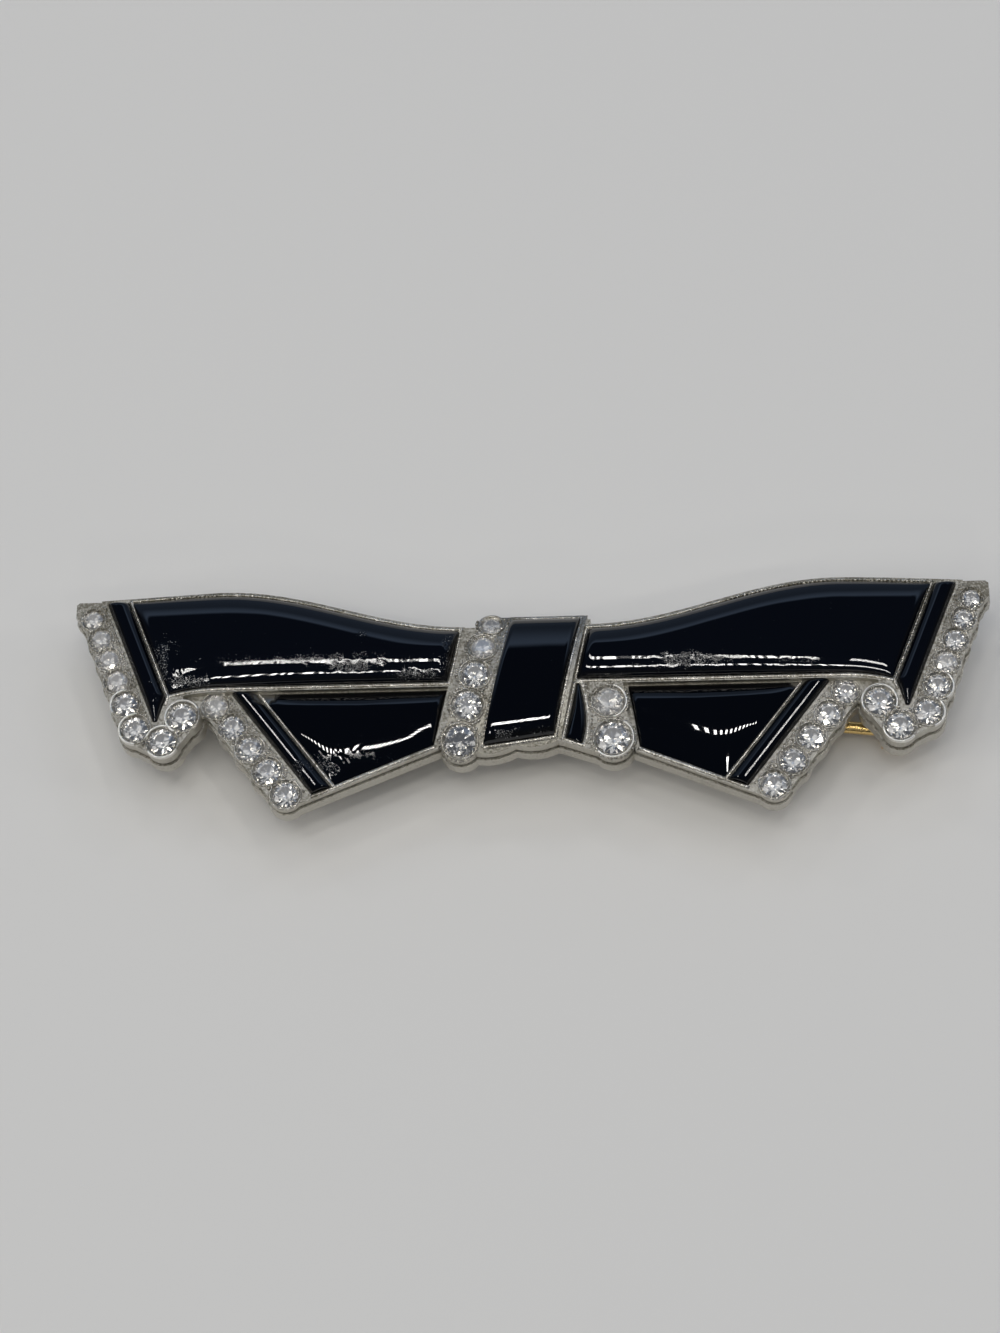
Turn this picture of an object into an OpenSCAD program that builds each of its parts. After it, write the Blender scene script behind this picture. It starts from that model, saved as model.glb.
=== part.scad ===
// A bow brooch of grey-white metal set with domed black onyx and round brilliants,
// lying face up on a flat surface. Millimetres: X runs along the bow, Y up the bow
// and Z towards the viewer. The origin is the middle of the brooch's box, on the
// surface that it lies on. Each half is drawn as the right-hand one and mirrored.

/* [Bow] */
// Overall width of the bow
bow_w = 58; // [57:0.5:60]
// Height of the loops' highest point above the bow's middle
loop_top = 7.0; // [6.85:0.05:7.3]
// Height of the loops' top edge beside the knot
loop_inner_top = 4.2; // [4.05:0.05:4.4]
// Height of the wing's outer corner
corner_y = 6.5; // [6.4:0.05:6.65]
// Height of the seam between the loops and the tails
seam_y = 0.55; // [0.45:0.05:0.7]
// How far the seam drops at the loop's outer corner
seam_dip = 0.45; // [0.3:0.05:0.55]
// Height of the tails' first stone
tail_start_y = -0.42; // [-0.5:0.02:-0.3]
// Lean of the wing's outer end
edge_lean = 21.8; // [21:0.2:22.6]
// Lean of the tail's outer end
tail_lean = 37.4; // [36.6:0.2:38.2]
// Slope of the tail's lower edge
tail_rise = 22.2; // [21.4:0.1:22.8]

/* [Metal] */
// Thickness of the metal at the loops and the edge rows
wing_h = 2.0; // [1.9:0.05:2.3]
// Thickness of the metal at the tails
tail_h = 1.5; // [1.4:0.05:1.7]
// Thickness of the lower plate, below the groove round the side
plate_h = 0.95; // [0.8:0.05:1.1]
// Height of the groove round the side
groove_h = 0.15; // [0.1:0.01:0.2]
// Depth of the groove round the side
groove_d = 0.1; // [0.05:0.01:0.15]
// How far the lower plate stands out past the upper part
plate_step = 0.12; // [0.05:0.01:0.2]
// Metal left under the onyx
floor_t = 0.8; // [0.6:0.05:1]
// Width of the metal line between two onyx panels
rim_w = 0.24; // [0.2:0.01:0.3]
// Width of the metal border round the outside
border_w = 0.3; // [0.26:0.01:0.36]
// Width of metal round each stone
collet_w = 0.22; // [0.18:0.01:0.25]
// Gap between a set piece and its seat
seat_gap = 0.04; // [0.03:0.01:0.05]

/* [Onyx] */
// Height of the loops' dome above their rim
loop_crown = 1.15; // [0.8:0.05:1.3]
// Height of the outer bands' dome above their rim
band_crown = 0.55; // [0.4:0.05:0.7]
// Height of the tails' dome above their rim
tail_crown = 0.6; // [0.4:0.05:0.8]
// Height of the knot panel's dome above its rim
knot_crown = 0.75; // [0.5:0.05:0.9]
// Width of the round edge of a large panel
round_w = 1.3; // [1:0.05:1.5]
// Width of the onyx band at the wing's outer end
band_w = 1.57; // [1.45:0.01:1.65]
// Width of the onyx band at the tail's outer end
tail_band_w = 1.52; // [1.4:0.01:1.6]
// Width of the onyx sliver beside the knot
sliver_w = 1.15; // [1.05:0.01:1.25]

/* [Stones] */
// Diameter of the largest stone in the straight edge row
edge_stone = 1.7; // [1.65:0.01:1.75]
// Distance from the wing's corner down to the middle of its first stone
first_drop = 0.99; // [0.92:0.01:1.06]
// Distance from the wing's corner in to the middle of its first stone
first_in = 1.13; // [1.05:0.01:1.2]
// Gap between two stones of the straight edge row
edge_gap = 0.17; // [0.14:0.01:0.2]
// Gap between two stones of the hook
hook_gap = 0.22; // [0.2:0.01:0.25]
// Diameter of the largest stone in the tail row
tail_stone = 1.7; // [1.65:0.01:1.75]
// Gap between two stones of the tail row
tail_gap = 0.25; // [0.2:0.01:0.28]
// Diameter of the largest stone in the knot's column
knot_stone = 2.0; // [1.95:0.01:2.05]
// Gap between two stones of the knot's column
knot_gap = 0.26; // [0.22:0.01:0.3]
// Diameter of the larger stone beside the knot
side_stone = 2.2; // [2.1:0.02:2.24]
// Gap between the two stones beside the knot
side_gap = 0.42; // [0.36:0.01:0.46]
// How far a stone's girdle lies below the metal
girdle_drop = 0.1; // [0.08:0.01:0.14]

/* [Knot] */
// Width of the knot's onyx panel
knot_w = 4.45; // [4.35:0.01:4.55]
// Height of the knot's upper end
knot_top = 5.05; // [4.95:0.05:5.15]
// Height of the knot's lower end
knot_bottom = -3.5; // [-3.6:0.05:-3.4]
// How much higher the knot's lower end is on its right than on its left
knot_low_rise = 0.55; // [0.4:0.05:0.7]
// Lean of the knot
knot_lean = 11.5; // [11:0.1:12]
// Thickness of the knot at its middle
knot_h = 2.8; // [2.6:0.05:3]
// How far the knot falls away from its middle to its ends
knot_sag = 0.9; // [0.7:0.05:1]
// Width of the knot's right rim
knot_rim = 0.35; // [0.3:0.01:0.4]
// Depth of the pleats along the knot's lower edge
pleat_d = 0.3; // [0.2:0.01:0.35]

/* [Pin] */
// Height that the hinge and the catch hold the bow above the surface
foot_h = 2.6; // [2.5:0.05:2.8]
// Height of the pin's axis above the surface
pin_z = 1.0; // [0.95:0.05:1.1]
// Diameter of the pin stem
pin_d = 0.76; // [0.7:0.01:0.85]
// Diameter of the pin stem where it leaves its knuckle
root_d = 0.9; // [0.87:0.01:0.95]
// Distance from the hinge pivot over which the stem thins
root_l = 3.8; // [3.2:0.1:4.4]
// Distance before the catch from which the stem thins again
end_l = 1.4; // [1.2:0.1:1.8]
// Slope of the pin stem, falling to the right
pin_slope = 6.7; // [6:0.1:7.2]
// Height of the pin stem behind the bow's middle
pin_mid_y = 0.77; // [0.6:0.01:0.9]
// Distance from the bow's left end in to the hinge pivot
hinge_in = 6.7; // [6.5:0.1:7]
// Distance from the bow's right end in to the catch
catch_in = 6.1; // [5.9:0.1:6.4]
// Length of the stem past the catch
point_reach = 2.4; // [2.2:0.1:2.5]
// Width of the hinge, across the pin
hinge_w = 2.4; // [2.2:0.05:2.6]
// Width of the catch, across the pin
catch_w = 1.7; // [1.6:0.05:1.9]
// Radius of the pin's knuckle
knuckle_r = 0.72; // [0.68:0.01:0.8]
// Radius of the hinge's rivet
rivet_r = 0.32; // [0.28:0.01:0.36]
// Running clearance of the rivet and of the pin in its catch
run_gap = 0.06; // [0.05:0.01:0.08]

/* [Hidden] */
EDGE_COUNT = 8;
TAIL_COUNT = 5;
KNOT_COUNT = 5;
SIDE_COUNT = 2;
METAL = "#b9bbbd";
ONYX = "#12151d";
BRILLIANT = "#dfe7f3";
GOLD = "#c8a24c";

PANELS = [
    "left_loop_panel", "right_loop_panel", "left_edge_band", "right_edge_band",
    "left_tail_panel", "right_tail_panel", "left_tail_band", "right_tail_band",
    "knot_panel", "knot_side_sliver"
];

LEFT = -1;
RIGHT = 1;
half_w = bow_w / 2 - plate_step;
hinge_x = bow_w / 2 - hinge_in;
catch_x = bow_w / 2 - catch_in;
wing_z = foot_h + wing_h;
tail_z = foot_h + tail_h;
floor_z = foot_h + floor_t;
// What lies outside a panel's own line on the bow's outside
outside_w = border_w - rim_w / 2;

// Plane geometry
function mix(a, b, t) = a + (b - a) * t;
function unit(v) = v / norm(v);
function left_of(v) = [-v.y, v.x];
function heading(a) = [cos(a), sin(a)];

// A ring of points moved inwards by d, or outwards where d is negative
function inset(ring, d) = [
    for (i = [0 : len(ring) - 1])
        let (
            before = ring[(i + len(ring) - 1) % len(ring)],
            after = ring[(i + 1) % len(ring)],
            n1 = left_of(unit(ring[i] - before)),
            n2 = left_of(unit(after - ring[i]))
        )
        ring[i] + d * (n1 + n2) / (1 + n1 * n2)
];

// Distance from the first stone of a row to stone i
function reach(ds, gap, i) = i == 0 ? 0 : reach(ds, gap, i - 1) + (ds[i - 1] + ds[i]) / 2 + gap;

// Edge row: six stones in a straight line, then two round the hook
EDGE_SHARES = [0.74, 0.79, 0.82, 0.86, 0.94, 1, 1.06, 1.09];
STRAIGHT_COUNT = 6;
HOOK_HEADINGS = [207, 126];
edge_d = [for (s = EDGE_SHARES) s * edge_stone];
edge_start = [half_w - first_in, corner_y - first_drop];
edge_dir = [-sin(edge_lean), -cos(edge_lean)];
function edge_at(i) =
    i < STRAIGHT_COUNT ? edge_start + edge_dir * reach(edge_d, edge_gap, i)
    : edge_at(i - 1) + ((edge_d[i - 1] + edge_d[i]) / 2 + hook_gap) * heading(HOOK_HEADINGS[i - STRAIGHT_COUNT]);
// Distance from the line of the edge stones in to the onyx band, then to the loop
band_off = edge_d[STRAIGHT_COUNT - 1] / 2 + collet_w;
loop_off = band_off + band_w;
function edge_line(y, off) = edge_start.x - (edge_start.y - y) * tan(edge_lean) - off / cos(edge_lean);

// Tail row
TAIL_SHARES = [0.91, 0.94, 0.97, 1, 1];
tail_d = [for (s = TAIL_SHARES) s * tail_stone];
tail_start = [half_w * 0.684, tail_start_y];
tail_dir = [-sin(tail_lean), -cos(tail_lean)];
function tail_at(i) = tail_start + tail_dir * reach(tail_d, tail_gap, i);
tail_band_off = tail_stone / 2 + collet_w + 0.05;
tail_panel_off = tail_band_off + tail_band_w;
function tail_line(y, off) = tail_start.x - (tail_start.y - y) * tan(tail_lean) - off / cos(tail_lean);
tail_tip = tail_at(TAIL_COUNT - 1);
tip_r = tail_stone / 2 + collet_w;
// Lower edge of the tail's panels, and where it meets a line that leans with the row
function tail_low(x) = tail_tip.y - (tip_r - border_w) / cos(tail_rise) + (tail_tip.x - x) * tan(tail_rise);
function tail_foot(off) =
    let (
        x0 = tail_line(0, off),
        x = (x0 + tan(tail_lean) * tail_low(0)) / (1 + tan(tail_lean) * tan(tail_rise))
    )
    [x, tail_low(x)];

// Knot: a leaning panel with a column of stones on its left and a rim on its right
KNOT_SHARES = [0.65, 0.8, 0.875, 0.925, 1];
knot_d = [for (s = KNOT_SHARES) s * knot_stone];
knot_x = 0.25;
knot_y = (knot_top + knot_bottom - pleat_d) / 2;
col_margin = 0.48;
column_w = knot_stone + col_margin + collet_w + 0.3;
function knot_left(y) = knot_x - knot_w / 2 + (y - knot_y) * tan(knot_lean);
function knot_right(y) = knot_left(y) + knot_w;
function knot_edge(y) = knot_right(y) + knot_rim;
// The lower end's slanting line, at share f of the way from its left to its right
function knot_low(f) = knot_bottom + knot_low_rise * (f - 0.5);
function knot_at(i) =
    let (y = knot_top - knot_d[0] / 2 - reach(knot_d, knot_gap, i) * cos(knot_lean))
    [knot_left(y) - knot_d[i] / 2 - col_margin, y];
// The knot's metal is arched along its length
arch_r = (pow((knot_top - knot_bottom) / 2, 2) + pow(knot_sag, 2)) / (2 * knot_sag);
arch_z = foot_h + knot_h - arch_r;
function arch(y) = arch_z + sqrt(pow(arch_r, 2) - pow(y - knot_y, 2));

// Two stones beside the knot, below the seam
SIDE_SHARES = [0.86, 1];
side_d = [for (s = SIDE_SHARES) s * side_stone];
SIDE_HEADING = -84;
side_start = [knot_edge(seam_y) + sliver_w + side_d[0] / 2 + 0.1, seam_y - side_d[0] / 2 - 0.48];
function side_at(i) = side_start + reach(side_d, side_gap, i) * heading(SIDE_HEADING);
function side_r(i) = side_d[i] / 2 + collet_w;
// Line just right of both stones
function side_line(y) =
    let (
        a = side_at(0) + [side_r(0) + 0.12, 0],
        b = side_at(1) + [side_r(1) + 0.12, 0]
    )
    mix(a.x, b.x, (y - a.y) / (b.y - a.y));

// Inner ends of the loops and the tails, as distances out from the bow's middle
function loop_in(side, y) = side == RIGHT ? knot_edge(y) + 0.1 : column_w - knot_left(y);
function tail_in(side, y) = side == RIGHT ? side_line(y) : column_w - knot_left(y);

// Top edge of the loops: a cosine rise from the knot to the peak, then a slow fall
rise_x = half_w * 0.133;
peak_x = half_w * 0.674;
function top_y(x) =
    x < peak_x
        ? mix(loop_inner_top, loop_top, (1 - cos(180 * max(0, x - rise_x) / (peak_x - rise_x))) / 2)
        : mix(loop_top, corner_y, pow(min(1, (x - peak_x) / (half_w - peak_x)), 1.3));

// Lower outer corner of the loop, above the hook's last stone, and the band's point
hook_end = edge_at(EDGE_COUNT - 1);
hook_turn = edge_at(STRAIGHT_COUNT);
function edge_r(i) = edge_d[i] / 2 + collet_w;
function tail_r(i) = tail_d[i] / 2 + collet_w;
function knot_r(i) = knot_d[i] / 2 + collet_w;
loop_corner_y = seam_y - seam_dip;
loop_corner = [edge_line(loop_corner_y, loop_off), loop_corner_y];
apex_y = hook_turn.y + edge_r(STRAIGHT_COUNT) + 0.1;
apex = [edge_line(apex_y, band_off), apex_y];
dip_x = half_w * 0.68;
function seam_at(x) = seam_y - seam_dip * pow(max(0, x - dip_x) / (loop_corner.x - dip_x), 2);

// Each panel lies between two lists of points of the same length, low and high, which
// run from one end of the panel to the other. Together they are its ring of points.
function ring(sides) = concat(sides[0], [for (i = [len(sides[1]) - 1 : -1 : 0]) sides[1][i]]);
// The narrow end of a pointed panel, with room for its rims
point_w = rim_w + 2 * seat_gap + 0.12;

LOOP_N = 22;
function loop_sides(side) =
    let (
        x0 = loop_in(side, seam_y),
        x1 = loop_in(side, top_y(loop_in(side, loop_inner_top))),
        x2 = edge_line(top_y(edge_line(loop_top, loop_off)), loop_off)
    )
    [
        [for (i = [0 : LOOP_N]) let (x = mix(x0, loop_corner.x, i / LOOP_N)) [x, seam_at(x)]],
        [for (i = [0 : LOOP_N]) let (x = mix(x1, x2, i / LOOP_N)) [x, top_y(x)]]
    ];

BAND_N = 12;
POINT_N = 4;
// The band's inner side bends at the loop's lower corner, below which it is a point
function band_sides() =
    let (
        x0 = edge_line(corner_y, band_off),
        x1 = edge_line(corner_y, loop_off),
        outer_top = [edge_line(top_y(x0), band_off), top_y(x0)],
        inner_top = [edge_line(top_y(x1), loop_off), top_y(x1)],
        inner_apex = apex - [point_w, 0],
        bend = [edge_line(loop_corner_y, band_off), loop_corner_y]
    )
    [
        concat(
            [for (i = [0 : POINT_N - 1]) mix(apex, bend, i / POINT_N)],
            [for (i = [0 : BAND_N]) mix(bend, outer_top, i / BAND_N)]
        ),
        concat(
            [for (i = [0 : POINT_N - 1]) mix(inner_apex, loop_corner, i / POINT_N)],
            [for (i = [0 : BAND_N]) mix(loop_corner, inner_top, i / BAND_N)]
        )
    ];

TAIL_N = 14;
function tail_sides(side) =
    let (
        y0 = seam_y - rim_w / 2,
        foot = tail_foot(tail_panel_off),
        x0 = tail_in(side, tail_low(tail_in(side, -knot_stone * 2))),
        x1 = tail_in(side, y0),
        x2 = tail_line(y0, tail_panel_off)
    )
    [
        [for (i = [0 : TAIL_N]) let (x = mix(x0, foot.x, i / TAIL_N)) [x, tail_low(x)]],
        [for (i = [0 : TAIL_N]) [mix(x1, x2, i / TAIL_N), y0]]
    ];

function tail_band_sides() =
    let (
        y0 = seam_y - rim_w / 2,
        low_out = tail_foot(tail_band_off),
        low_in = tail_foot(tail_panel_off),
        top_out = [tail_line(y0, tail_band_off), y0],
        top_in = [tail_line(y0, tail_panel_off), y0]
    )
    [
        [for (i = [0 : BAND_N]) mix(low_out, top_out, i / BAND_N)],
        [for (i = [0 : BAND_N]) mix(low_in, top_in, i / BAND_N)]
    ];

KNOT_N = 6;
function knot_sides() =
    let (y1 = knot_top - 0.1)
    [
        [
            for (i = [0 : KNOT_N])
                let (f = i / KNOT_N, y = knot_low(f))
                [mix(knot_left(y), knot_right(y), f), y]
        ],
        [for (i = [0 : KNOT_N]) [mix(knot_left(y1), knot_right(y1), i / KNOT_N), y1]]
    ];

SLIVER_N = 8;
sliver_low = side_at(1).y - side_r(1) * 0.35;
sliver_left_low = sliver_low + 0.5;
sliver_top = seam_y - 0.1;
// The sliver widens downwards, its right side bulges and its lower end slants
function sliver_sides() = [
    [
        for (i = [0 : SLIVER_N])
            let (y = mix(sliver_low, sliver_top, i / SLIVER_N), t = 1 - i / SLIVER_N)
            [knot_edge(y) + 0.1 + point_w + (sliver_w - 0.3) * (0.45 * t + 0.85 * sin(120 * t)), y]
    ],
    [for (i = [0 : SLIVER_N]) let (y = mix(sliver_left_low, sliver_top, i / SLIVER_N)) [knot_edge(y) + 0.1, y]]
];

// Rise of a domed panel at distance t from its edge: a quarter circle of width w
function round_edge(t, w) = t >= w ? 1 : sqrt(max(0, 1 - pow(1 - t / w, 2)));

// Places along a panel's n steps, closer at both ends where the dome turns down
function places(n) = concat([0, 0.17, 0.55], [for (i = [1 : n - 1]) i], [n - 0.55, n - 0.17, n]);
function point_at(list, t) = mix(list[floor(t)], list[min(floor(t) + 1, len(list) - 1)], t - floor(t));
function from_ends(steps, j) = (1 - cos(180 * j / steps)) / 2;

// A panel of onyx: upright sides, round edges and a flat top or, on the knot, an arched one
module domed_panel(sides, edge_z, crown, w, steps, arched = false) {
    last = len(sides[0]) - 1;
    set_ring = inset(ring(sides), rim_w / 2 + seat_gap);
    low_side = [for (i = [0 : last]) set_ring[i]];
    high_side = [for (i = [0 : last]) set_ring[2 * last + 1 - i]];
    low = [for (t = places(last)) point_at(low_side, t)];
    high = [for (t = places(last)) point_at(high_side, t)];
    n = len(low) - 1;
    length_at = [for (i = [0 : n]) norm((low[i] + high[i]) / 2 - (low[0] + high[0]) / 2)];
    top = [
        for (i = [0 : n])
            for (j = [0 : steps])
                let (
                    v = from_ends(steps, j),
                    p = mix(low[i], high[i], v),
                    across = min(v, 1 - v) * norm(high[i] - low[i]),
                    along = min(length_at[i], length_at[n] - length_at[i]),
                    z0 = arched ? arch(p.y) - girdle_drop / 2 : edge_z
                )
                [p.x, p.y, z0 + crown * round_edge(across, w) * round_edge(along, w)]
    ];
    row = steps + 1;
    rim = concat(
        [for (i = [0 : n]) i * row],
        [for (j = [1 : steps]) n * row + j],
        [for (i = [n - 1 : -1 : 0]) i * row + steps],
        [for (j = [steps - 1 : -1 : 1]) j]
    );
    base = (n + 1) * row;
    count = len(rim);
    under = [for (k = rim) [top[k].x, top[k].y, floor_z + seat_gap]];
    middle = mix(under[floor(n / 2)], under[n + steps + ceil(n / 2)], 0.5);
    points = concat(top, under, [middle]);
    faces = concat(
        [
            for (i = [0 : n - 1])
                for (j = [0 : steps - 1])
                    [i * row + j, i * row + j + 1, (i + 1) * row + j + 1]
        ],
        [
            for (i = [0 : n - 1])
                for (j = [0 : steps - 1])
                    [i * row + j, (i + 1) * row + j + 1, (i + 1) * row + j]
        ],
        [for (k = [0 : count - 1]) [rim[k], rim[(k + 1) % count], base + (k + 1) % count]],
        [for (k = [0 : count - 1]) [rim[k], base + (k + 1) % count, base + k]],
        [for (k = [0 : count - 1]) [base + k, base + (k + 1) % count, base + count]]
    );
    polyhedron(points, faces, convexity = 4);
}

// A round brilliant: octagonal table, stars, kites, upper halves, girdle and pavilion
module brilliant(d) {
    r = d / 2;
    table_r = 0.56 * r;
    star_r = 0.76 * r;
    crown_h = 0.15 * d;
    girdle_h = 0.015 * d;
    depth = 0.42 * d;
    low_r = 0.3 * r;
    star_z = mix(crown_h, girdle_h, (star_r * cos(22.5) - table_r) / (r - table_r));
    low_z = mix(-depth, -girdle_h, low_r * cos(22.5) / r);
    points = concat(
        [for (k = [0 : 7]) [table_r * cos(45 * k), table_r * sin(45 * k), crown_h]],
        [for (k = [0 : 7]) [star_r * cos(45 * k + 22.5), star_r * sin(45 * k + 22.5), star_z]],
        [for (k = [0 : 15]) [r * cos(22.5 * k), r * sin(22.5 * k), girdle_h]],
        [for (k = [0 : 15]) [r * cos(22.5 * k), r * sin(22.5 * k), -girdle_h]],
        [for (k = [0 : 7]) [low_r * cos(45 * k + 22.5), low_r * sin(45 * k + 22.5), low_z]],
        [[0, 0, -depth]]
    );
    faces = concat(
        [[7, 6, 5, 4, 3, 2, 1, 0]],
        [for (k = [0 : 7]) [k, (k + 1) % 8, 8 + k]],
        [for (k = [0 : 7]) [k, 8 + k, 16 + 2 * k]],
        [for (k = [0 : 7]) [k, 16 + 2 * k, 8 + (k + 7) % 8]],
        [for (k = [0 : 7]) [8 + k, 17 + 2 * k, 16 + 2 * k]],
        [for (k = [0 : 7]) [8 + k, 16 + (2 * k + 2) % 16, 17 + 2 * k]],
        [for (k = [0 : 15]) [16 + k, 16 + (k + 1) % 16, 32 + (k + 1) % 16, 32 + k]],
        [for (k = [0 : 7]) [48 + k, 32 + 2 * k, 33 + 2 * k]],
        [for (k = [0 : 7]) [48 + k, 33 + 2 * k, 32 + (2 * k + 2) % 16]],
        [for (k = [0 : 7]) [56, 32 + 2 * k, 48 + k]],
        [for (k = [0 : 7]) [56, 48 + (k + 7) % 8, 32 + 2 * k]]
    );
    color(BRILLIANT) polyhedron(points, faces, convexity = 2);
}

// The stepped seat of a stone, open at the back
module seat(d) {
    translate([0, 0, -girdle_drop - 0.14 * d]) cylinder(r = d / 2 + seat_gap, h = d + 1, $fn = 32);
    translate([0, 0, -wing_h - knot_h]) cylinder(r = 0.36 * d, h = wing_h + knot_h, $fn = 24);
}

module mirrored(side) {
    mirror([side == LEFT ? 1 : 0, 0, 0]) children();
}

module at_edge(i) {
    translate([edge_at(i).x, edge_at(i).y, wing_z]) children();
}

module at_tail(i) {
    translate([tail_at(i).x, tail_at(i).y, tail_z]) children();
}

module at_side(i) {
    translate([side_at(i).x, side_at(i).y, wing_z]) children();
}

// A place on the knot's arch, turned square to it
module at_knot(i) {
    lean = asin((knot_at(i).y - knot_y) / arch_r);
    translate([knot_at(i).x, knot_y, arch_z]) rotate([-lean, 0, 0]) translate([0, 0, arch_r]) children();
}

module grown(points, g) {
    polygon(inset(points, -g));
}

// Plan of one wing: loop, onyx band, edge row and hook
module wing_plan(side, g) {
    out = [cos(edge_lean), -sin(edge_lean)];
    first = edge_at(0);
    last = edge_at(STRAIGHT_COUNT - 1);
    loop = loop_sides(side);
    band = band_sides();
    grown(concat(loop[0], [band[1][0]], band[0], [for (i = [LOOP_N : -1 : 0]) loop[1][i]]), outside_w + g);
    grown([
        first + out * edge_r(0) * 0.88,
        [half_w, corner_y - 0.85],
        [half_w, corner_y + 0.05],
        [half_w - 0.2, corner_y + 0.2],
        [edge_line(corner_y, band_off + 0.2), corner_y + 0.2],
        apex,
        hook_turn,
        last,
        last + out * edge_r(STRAIGHT_COUNT - 1) * 0.88
    ], g);
    for (i = [0 : EDGE_COUNT - 1]) translate(edge_at(i)) circle(r = edge_r(i) + g, $fn = 48);
    for (i = [STRAIGHT_COUNT : EDGE_COUNT - 1]) {
        along = unit(edge_at(i) - edge_at(i - 1));
        across = left_of(along);
        grown([
            edge_at(i - 1) - across * edge_r(i - 1) * 0.9,
            edge_at(i) - across * edge_r(i) * 0.9,
            edge_at(i) + across * edge_r(i) * 0.9,
            edge_at(i - 1) + across * edge_r(i - 1) * 0.9
        ], g);
    }
    // The metal inside the hook, and between the hook and the tail
    polygon([hook_turn, hook_end, [hook_end.x, seam_y], loop_corner, apex]);
}

// Plan of one tail: panel, onyx band and stone row
module tail_plan(side, g) {
    out = [cos(tail_lean), -sin(tail_lean)];
    first = tail_at(0);
    // Metal between the tail's first stone and the hook's last one
    web_y = (first.y + hook_end.y) / 2 - 0.3;
    panel = tail_sides(side);
    grown(concat(
        panel[0],
        [[tail_tip.x, tail_low(tail_tip.x)], [first.x, panel[1][0].y]],
        [for (i = [TAIL_N : -1 : 0]) panel[1][i]]
    ), outside_w + g);
    grown([
        [tail_line(seam_y, tail_band_off + 0.2), seam_y],
        tail_tip,
        tail_tip + out * tip_r * 0.88,
        first + out * tail_r(0) * 0.88,
        [first.x + 0.2, seam_y]
    ], g);
    for (i = [0 : TAIL_COUNT - 1]) translate(tail_at(i)) circle(r = tail_r(i) + g, $fn = 48);
    grown([
        [first.x - 0.8, seam_y + 0.1],
        [first.x, first.y - 0.4],
        [mix(first.x, hook_end.x, 0.45), web_y],
        [hook_end.x, hook_end.y - 0.4],
        [hook_end.x + 0.2, seam_y - 0.1]
    ], g);
}

// Plan of the metal behind the knot and its stones
module knot_back_plan(g) {
    y0 = knot_low(1) + 0.1;
    y1 = loop_inner_top + 0.12;
    grown([
        [knot_left(y0) - column_w, y0],
        [knot_edge(y0), y0],
        [knot_edge(y1), y1],
        [knot_left(y1) - column_w, y1]
    ], g);
}

// Plan of the knot itself, with its pleated lower edge
PLEATS = 2;
PLEAT_N = 6;
module knot_plan(g) {
    top = knot_at(0);
    low = knot_at(KNOT_COUNT - 1);
    x0 = low.x + knot_r(KNOT_COUNT - 1) * 0.5;
    x1 = knot_edge(knot_low(1));
    grown(concat(
        [[top.x, knot_top - 0.02], top - [knot_r(0) * 0.88, 0], low - [knot_r(KNOT_COUNT - 1) * 0.88, 0]],
        [
            for (k = [0 : PLEATS * PLEAT_N])
                let (
                    f = (k % PLEAT_N) / PLEAT_N,
                    x = mix(x0, x1, k / (PLEATS * PLEAT_N)),
                    y = knot_low((x - knot_left(knot_bottom)) / knot_w)
                )
                [x, y - border_w / 3 - pleat_d * 4 * f * (1 - f)]
        ],
        [[knot_edge(knot_top), knot_top]]
    ), g);
    for (i = [0 : KNOT_COUNT - 1]) translate(knot_at(i)) circle(r = knot_r(i) + g, $fn = 48);
}

// Plan of the cluster and the sliver beside the knot
module side_plan(g) {
    a = side_at(0);
    b = side_at(1);
    grown([
        [knot_left(seam_y), seam_y + 0.25],
        [knot_edge(knot_low(1)) - 1, knot_low(1)],
        [knot_edge(sliver_left_low) + 0.1, sliver_left_low - outside_w],
        b - [side_r(1) * 0.7, side_r(1) * 0.7],
        b + [side_r(1) * 0.75, -side_r(1) * 0.65],
        b + [side_r(1) * 0.9, 0],
        a + [side_r(0) * 0.9, 0],
        [a.x + side_r(0) * 0.75, seam_y + 0.1],
        [knot_edge(seam_y) + 0.8, seam_y + 0.25]
    ], g);
    translate(a) circle(r = side_r(0) + g, $fn = 48);
    translate(b) circle(r = side_r(1) + g, $fn = 48);
}

module whole_plan(g) {
    for (side = [LEFT, RIGHT]) mirrored(side) {
        wing_plan(side, g);
        tail_plan(side, g);
    }
    knot_back_plan(g);
    knot_plan(g);
    side_plan(g);
    // The tail reaches in under the cluster's edge
    grown([
        [side_at(0).x, seam_y],
        [side_at(1).x, side_at(1).y],
        [side_line(side_at(1).y) + 0.6, side_at(1).y - side_r(1) * 0.4],
        [side_line(seam_y) + 0.6, seam_y]
    ], g);
}

module slab(z0, z1) {
    translate([0, 0, z0]) linear_extrude(z1 - z0) children();
}

module pocket(sides) {
    slab(floor_z, foot_h + 4 * knot_h) polygon(inset(ring(sides), rim_w / 2));
}

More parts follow.
